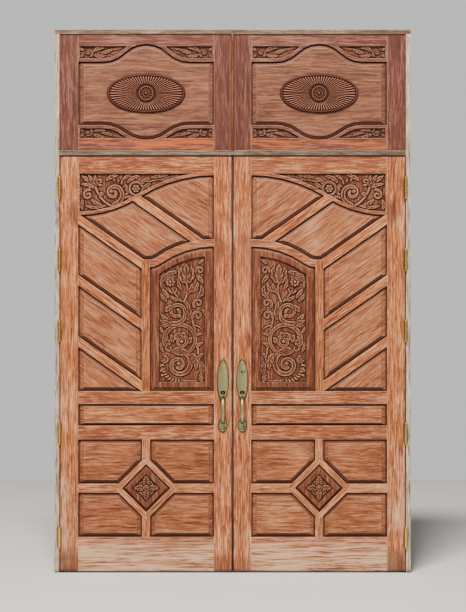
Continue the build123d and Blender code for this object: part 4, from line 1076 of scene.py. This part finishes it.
def corner_vine(a, b):
    work = Carving(a, b)
    work.stalk((70, 18), (130, 12), (178, 42), 7, 3.6, 0.6)
    work.scroll((52, 31), 300, 1.2, 25, 6, 11, 5.2)
    work.flower((53, 31), 13, 5, 5.8)
    work.frond((26, 44), (14, 50), (14, 60), 14, 3, 4.6)
    work.frond((26, 18), (14, 14), (13, 5), 12, 3, 4.4)
    work.frond((78, 38), (104, 60), (142, 58), 17, 4, 5.0)
    work.frond((82, 20), (112, 4), (146, 18), 15, 4, 5.0)
    work.frond((122, 30), (160, 34), (190, 56), 15, 4, 5.0)
    work.frond((176, 46), (206, 52), (244, 61), 9, 4, 4.4)
    return np.clip(work.height, -0.5, 6.8)


def corner_board(name, side, crown, level):
    """A board between a level edge and the curved one, worked out on the left over panel."""
    def point_at(s, t):
        u = board_left + s * over_board_run
        curved = over_edge(u, side, crown) + board_margin
        w = curved + t * (level - curved)
        b = (w - side - board_margin) / (level - side - board_margin) * over_board_high
        face = over_field_front + spandrel_ground - corner_vine(u, b)
        return u + leaf_left, face, w + over_foot
    return carved_board(name, 130, 34, point_at, over_field_front + 12)


def four_of(board):
    """The board, its mirror image on the same over panel, and both on the other one."""
    other = own_copy(board, "other", mirror_at=over_middle_u + leaf_left)
    return board, other, own_copy(board, "far", mirror_at=0), own_copy(other, "far_other", mirror_at=0)


high_boards = four_of(corner_board("corner_boards", 468.0, 563.0, 549.8))
# The lower corners mirror the curve top to bottom, so the ogee is drawn falling
low_board = corner_board("low_boards", -131.0, -52.0, -62.2)
turned_over = own_copy(low_board, "turned_boards", flip_at=over_foot)
bpy.data.objects.remove(low_board)
corner_boards = joined("corner_boards", *high_boards, *four_of(turned_over))
settle(corner_boards, over_carving_wood, "frame", "carved_wood", "over_spandrels")

# %% [markdown]
# ## The oval medallions
# Each over panel carries an oval of ribs that spread from a beaded hub to a raised rim. It is turned
# and fluted work: the same grid as a board, but bent round into a disc, with the ribs spaced evenly
# along the rim.

# %% Carve the medallions
medallion_x, medallion_z = -458.5, 2541.5
medallion_half = (206.0, 101.0)
medallion_seat = 5.0
hub_radius = 41.0
hub_share = 0.32
rib_count = 60
bead_count = 12

# The shares of the rim's length that are passed at each angle
around = np.linspace(0, 2 * pi, 2000)
rim_run = np.hypot(medallion_half[0] * np.sin(around), medallion_half[1] * np.cos(around))
rim_share = np.cumsum(rim_run) / rim_run.sum()
rim_share[0], rim_share[-1] = 0, 1


def medallion_height(radius, ray, turn, share_round):
    """Height over the panel of the rim, the ribs and the hub."""
    in_from_rim = ray - radius
    rim = 9.0 * np.sqrt(np.clip(1 - ((in_from_rim - 4.5) / 5.0) ** 2, 0.04, 1))
    wave = np.cos(pi * rib_count * share_round)
    rib = wave**3 * np.sign(wave)
    fade = smooth(hub_radius, hub_radius + 26, radius) * smooth(9, 15, in_from_rim)
    ribs = 2.6 + 4.9 * rib * fade + 0.8 * smooth(hub_radius, hub_radius + 60, radius)
    ring = 7.0 * np.sqrt(np.clip(1 - ((radius - 36) / 4.0) ** 2, 0, 1))
    bead_turn = (turn * bead_count / (2 * pi)) % 1 - 0.5
    off_bead = np.hypot(bead_turn * 2 * pi / bead_count * 27, radius - 27)
    bead = 7.0 * np.sqrt(np.clip(1 - (off_bead / 4.6) ** 2, 0, 1))
    collar = 5.6 * np.sqrt(np.clip(1 - ((radius - 17) / 3.0) ** 2, 0, 1))
    boss = 8.6 * np.sqrt(np.clip(1 - (radius / 10) ** 2, 0, 1))
    hub = np.maximum.reduce([ring, bead, collar, boss, np.full(radius.shape, 2.4)])
    return np.where(radius < hub_radius, hub, np.where(in_from_rim < 9.2, rim, ribs))


def medallion_point(s, t):
    turn = np.interp(t, rim_share, around)
    out_x, out_z = medallion_half[0] * np.cos(turn), medallion_half[1] * np.sin(turn)
    ray = np.hypot(out_x, out_z)
    past_hub = np.clip((s - hub_share) / (1 - hub_share), 0, 1)
    radius = hub_radius * np.clip(s / hub_share, 0, 1) + (ray - hub_radius) * past_hub
    height = medallion_height(radius, ray, np.arctan2(out_z, out_x), t)
    return medallion_x + radius * out_x / ray, medallion_seat - height, medallion_z + radius * out_z / ray


medallion = carved_board("medallions", 64, 480, medallion_point, medallion_seat)
far_medallion = own_copy(medallion, "far_medallion", mirror_at=0)
settle(joined("medallions", medallion, far_medallion), medallion_wood, "frame", "carved_wood", "medallions")

# %% [markdown]
# ## Hinges
# Five butt hinges hang each leaf. A hinge is two let-in plates, three knuckles on one pin and a ball
# at each end of it. The upper and lower knuckles belong to the jamb and the middle one to the leaf, so
# the two halves are pieces of their own. Knuckles and balls are turned: a profile of radii and heights.

# %% Turn round forms and cut thin plates
def turned(name, centre, profile, axis="z", sides=32):
    """A turned form: circles of each radius, at each distance along the axis."""
    x, y, z = centre
    turns = full_turn(sides)
    rings = []
    for radius, along in profile:
        a, b, c = radius * np.cos(turns), radius * np.sin(turns), np.full(sides, float(along))
        placed = {"z": (a + x, b + y, c + z), "y": (a + x, c + y, b + z), "x": (c + x, a + y, b + z)}[axis]
        rings.append(np.stack(placed, 1))
    return ringed_body(name, rings, 40)


def thin_plate(name, x_sides, y_sides, z_sides):
    """A plate that lies in the y-z plane, with its arrises broken."""
    rings = []
    for inset, x in ((0.4, x_sides[0]), (0, x_sides[0] + 0.4), (0, x_sides[1] - 0.4), (0.4, x_sides[1])):
        low_y, high_y = y_sides[0] + inset, y_sides[1] - inset
        low_z, high_z = z_sides[0] + inset, z_sides[1] - inset
        rings.append([(x, low_y, low_z), (x, high_y, low_z), (x, high_y, high_z), (x, low_y, high_z)])
    return ringed_body(name, rings, 20)


# %% Shape one hinge and hang ten
leaf_height = 2200.0
hinge_shares = (0.08, 0.33, 0.578, 0.749, 0.923)
hinge_long = 102.0
hinge_feet = [leaf_foot + share * leaf_height - hinge_long / 2 for share in hinge_shares]
hinge_deep = 32
jamb_plate_sides = (-921, -918.5)
leaf_plate_sides = (-915.5, -913)
pin_x, pin_y = -917.0, -6.5
knuckle_gap = 0.4
knuckle = (hinge_long - 2 * knuckle_gap) / 3
round_knuckle = [(5.3, 0), (6, 0.7), (6, knuckle - 0.7), (5.3, knuckle)]
ball_tip = [(3.2, 0), (3.2, 1.2), (4.6, 1.8), (5.2, 3.6), (5.2, 4.8), (4.4, 6.8), (2.6, 8.3), (0.6, 8.9)]
screw_head = [(4.6, 0), (4.4, 0.35), (3.0, 0.6), (0.4, 0.66)]
screw_y = 19
screw_heights = (18, 51, 84)
print("hinge feet", [round(foot) for foot in hinge_feet])


def hinge_half(name, plate_sides, outward, knuckles, with_tips):
    """A let-in plate with its screws and the knuckles that belong to it, at the leaf's foot."""
    made = [thin_plate(name, plate_sides, (0, hinge_deep), (0, hinge_long))]
    for number in knuckles:
        low = number * (knuckle + knuckle_gap)
        made.append(turned("knuckle", (pin_x, pin_y, low), round_knuckle))
        made.append(thin_plate("web", plate_sides, (pin_y, 0.5), (low, low + knuckle)))
    face_x = max(plate_sides) if outward > 0 else min(plate_sides)
    head = [(radius, outward * along) for radius, along in screw_head]
    for height in screw_heights:
        made.append(turned("screw", (face_x, screw_y, height), head, "x", 20))
    if with_tips:
        made.append(turned("tip", (pin_x, pin_y, hinge_long), ball_tip))
        made.append(turned("tip", (pin_x, pin_y, 0), [(radius, -along) for radius, along in ball_tip]))
    return joined(name, *made)


jamb_half = hinge_half("jamb_half", jamb_plate_sides, 1, (0, 2), True)
leaf_half = hinge_half("leaf_half", leaf_plate_sides, -1, (1,), False)
jamb_halves, leaf_halves = [], []
for foot in hinge_feet:
    jamb_halves.append(own_copy(jamb_half, "jamb_half_copy", shift=(0, 0, foot)))
    jamb_halves.append(own_copy(jamb_halves[-1], "jamb_half_far", mirror_at=0))
    leaf_halves.append(own_copy(leaf_half, "leaf_half_copy", shift=(0, 0, foot)))
for used in (jamb_half, leaf_half):
    bpy.data.objects.remove(used)
settle(joined("hinge_jamb_half_set", *jamb_halves), brass, "frame", "hinge_brass", "hinge_jamb_halves")
settle_both(joined("hinge_leaf_half_set", *leaf_halves), brass, "hinge_brass", "hinge_leaf_halves")

# %% [markdown]
# ## Handles
# The handles are sand-cast bronze: a long oval plate, crowned in its middle with a thin raised edge,
# a bowed grip that is fullest where the hand holds it, and an oval foot with one screw. Each is a row
# of rings drawn in by an inset, which gives the soft edges of a casting. The right one also holds the
# key, in a collar of its own.

# %% Cast the plate
handle_x = -51.0
plate_foot, plate_head, plate_wide = 919.0, 1123.0, 56.0
slot_z = 955.0
slot_half_wide, slot_half_high = 13, 8
plate_profile = [(0, 0), (0, -2.0), (1.0, -3.2), (2.4, -3.4), (3.4, -2.7), (5.5, -2.9), (10, -3.9),
                 (16, -4.9), (22, -5.4)]


def lens(inset, depth):
    """The plate's long oval, drawn smaller by an inset."""
    half_wide = plate_wide / 2 - inset
    half_high = (plate_head - plate_foot) / 2 - 1.5 * inset
    share = np.sin(np.linspace(-pi / 2, pi / 2, 30))
    side = half_wide * (1 - np.abs(share) ** 2.1) ** 0.52
    x = np.concatenate([side, -side[-2:0:-1]])
    z = np.concatenate([share, share[-2:0:-1]]) * half_high
    return np.stack([x + handle_x, np.full(x.shape, depth), z + (plate_foot + plate_head) / 2], 1)


def cut_out(piece, cutter):
    """Cuts one piece out of another, as a file or a chisel would."""
    deselect_all()
    bpy.context.view_layer.objects.active = piece
    piece.select_set(True)
    cut = piece.modifiers.new("cut", "BOOLEAN")
    cut.operation = "DIFFERENCE"
    cut.solver = "EXACT"
    cut.object = cutter
    bpy.ops.object.modifier_apply(modifier="cut")
    bpy.ops.object.shade_smooth_by_angle(angle=radians(40))
    bpy.data.objects.remove(cutter)


def rounded_slot(x_half, z_half, centre_x, centre_z, depths, corner):
    """A block with rounded corners between two depths, to cut a slot with."""
    turns = full_turn(32)
    x = np.sign(np.cos(turns)) * (x_half - corner) + corner * np.cos(turns)
    z = np.sign(np.sin(turns)) * (z_half - corner) + corner * np.sin(turns)
    rings = [np.stack([x + centre_x, np.full(32, y), z + centre_z], 1) for y in depths]
    return ringed_body("slot", rings)


handle_plate = ringed_body("handle_plate", [lens(*place) for place in plate_profile], 50)
cut_out(handle_plate, rounded_slot(slot_half_wide, slot_half_high, handle_x, slot_z, (-12.0, 4.0), 3.0))
print("handle plate", len(handle_plate.data.vertices), "points")

# %% Bow the grip
grip_high, grip_low, grip_proud = 927.0, 797.0, 46.0
grip_middle, grip_half = (grip_high + grip_low) / 2, (grip_high - grip_low) / 2
grip_half_wide, grip_half_deep = 9.3, 5.4
turns = full_turn(24)[:, None]
bow = []
for angle in np.linspace(0.02, pi - 0.02, 34):
    swell = 0.58 + 0.42 * sin(angle) ** 1.4
    centre = np.array([handle_x, 1 - grip_proud * sin(angle) ** 0.8, grip_middle + grip_half * cos(angle)])
    run = np.array([0, -grip_proud * 0.8 * sin(angle) ** -0.2 * cos(angle), -grip_half * sin(angle)])
    out = np.array([0, run[2], -run[1]]) / np.hypot(run[1], run[2])
    sideways = np.array([1, 0, 0]) * np.cos(turns) * grip_half_wide * swell
    bow.append(centre + sideways + out * np.sin(turns) * grip_half_deep * swell)
grip = ringed_body("grip", bow, 60)
print("grip", round(grip_high - grip_low), "mm long,", round(grip_proud), "mm proud")

# %% Cast the foot and fix it with a screw
foot_z = 782.0
foot_half_wide, foot_half_high = 20.5, 33.5
foot_screw_z = foot_z - 13
foot_profile = [(0, 0), (0, -2.8), (1.2, -4.4), (3.2, -4.6), (5.2, -3.2), (8, -1.9), (13, -1.4), (17, -1.4)]
screw_dome = [(5.4, -1), (5.4, -3.4), (4.6, -4.4), (2.4, -5.0), (0.3, -5.1)]


def foot_oval(inset, depth):
    turns = full_turn(48)
    x, z = (foot_half_wide - inset) * np.cos(turns), (foot_half_high - inset * 1.15) * np.sin(turns)
    return np.stack([x + handle_x, np.full(48, depth), z + foot_z], 1)


handle_foot = ringed_body("handle_foot", [foot_oval(*place) for place in foot_profile], 50)
foot_screw = turned("foot_screw", (handle_x, 0, foot_screw_z), screw_dome, "y")
cut_out(foot_screw, rounded_slot(8, 0.7, handle_x, foot_screw_z, (-9.0, -4.2), 0.6))

# %% Join the handles, the right one with its key collar
key_z = 1066.0
collar_profile = [(12, 0), (12, -5.8), (10.8, -7.4), (8.8, -7.8), (7.6, -7.0), (7.3, -6.0)]
left_handle = joined("left_cast_handle", handle_plate, grip, handle_foot, foot_screw)
right_handle = own_copy(left_handle, "right_cast_handle", mirror_at=0)
collar = turned("collar", (-handle_x, 0, key_z), collar_profile, "y", 40)
right_handle = joined("right_cast_handle", right_handle, collar)
settle(left_handle, bronze, "left_leaf", "handle_bronze", "left_handle")
settle(right_handle, bronze, "right_leaf", "handle_bronze", "right_handle")

# %% [markdown]
# ## Thumb levers and the key plug
# A lever is flat and wide where it passes the plate, then narrows and dips into a spoon for the thumb. It
# is lofted from a row of soft-cornered sections, each with its depth, half width, height and thickness.
# The plug is a plain turned form with the key's slot cut in its face.

# %% Loft the levers and turn the plug
lever_sections = [(8.5, 7.6, 955.0, 3.6), (2, 8.0, 955.0, 3.8), (-4, 8.2, 955.4, 3.8),
                  (-10, 7.2, 956.4, 3.4), (-18, 7.0, 956.8, 2.8), (-26, 7.6, 956.8, 2.4),
                  (-32, 7.4, 956.0, 2.2), (-36, 6.4, 955.0, 2.0), (-37.8, 4.4, 954.4, 1.4)]
spoon_from = -12
turns = full_turn(24)
lever_rings = []
for depth, half, middle_z, thick in lever_sections:
    x = half * np.sign(np.cos(turns)) * np.abs(np.cos(turns)) ** 0.55
    dish = 0.9 * (1 - (x / half) ** 2) * (depth < spoon_from)
    rise = thick / 2 * np.sign(np.sin(turns)) * np.abs(np.sin(turns)) ** 0.7 - dish
    lever_rings.append(np.stack([x + handle_x, np.full(24, float(depth)), rise + middle_z], 1))
lever = ringed_body("lever", lever_rings, 60)
trunnion_profile = [(1.2, -16.7), (1.6, -16.3), (1.6, 16.3), (1.2, 16.7)]
trunnion = turned("trunnion", (handle_x, 2, slot_z), trunnion_profile, "x", 20)
left_lever = joined("left_thumb_lever", lever, trunnion)
right_lever = own_copy(left_lever, "right_thumb_lever", mirror_at=0)
# The levers take the darker bronze as painted shade, so they read as the shaded slot they sit in
settle(left_lever, dark_bronze, "left_thumb", "handle_bronze", "left_thumb_piece")
settle(right_lever, dark_bronze, "right_thumb", "handle_bronze", "right_thumb_piece")

plug_profile = [(7, 7.5), (7, -5.2), (6.5, -6.3), (0.4, -6.5)]
key_plug = turned("key_cylinder", (-handle_x, 0, key_z), plug_profile, "y")
cut_out(key_plug, rounded_slot(1.0, 4.4, -handle_x, key_z, (-9.0, -3.0), 0.9))
settle(key_plug, dark_bronze, "key_plug", "handle_bronze", "key_plug")

# %% [markdown]
# ## Black strips in the gaps
# Black strips are let into the narrow gaps round the leaves as painted shade, so the gaps read dark and
# no daylight shows through them. The two at the meeting edges each fill half of the gap, so that they
# pass one another when a leaf swings. The others lie behind the hinge plates and over the leaves.

# %% Let in the black strips
def shade_strip(name, x_sides, y_sides, z_sides, body):
    strip = thin_plate(name, x_sides, y_sides, z_sides)
    strip.data.materials.append(gap_shade_black)
    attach(strip, body)


shade_strip_heights = (13, 2206)
for side, hand in ((-1, "left"), (1, "right")):
    meeting_sides = sorted((side * 1.6, side * 0.15))
    jamb_sides = sorted((side * 918.6, side * 915.8))
    shade_strip(f"{hand}_meeting_seal", meeting_sides, (6, 12), shade_strip_heights, f"{hand}_leaf")
    shade_strip(f"{hand}_jamb_seal", jamb_sides, (36, 42), shade_strip_heights, "frame")
shade_strip("head_shade_strip", (-912, 912), (20, 27), (2210.4, 2214.2), "frame")
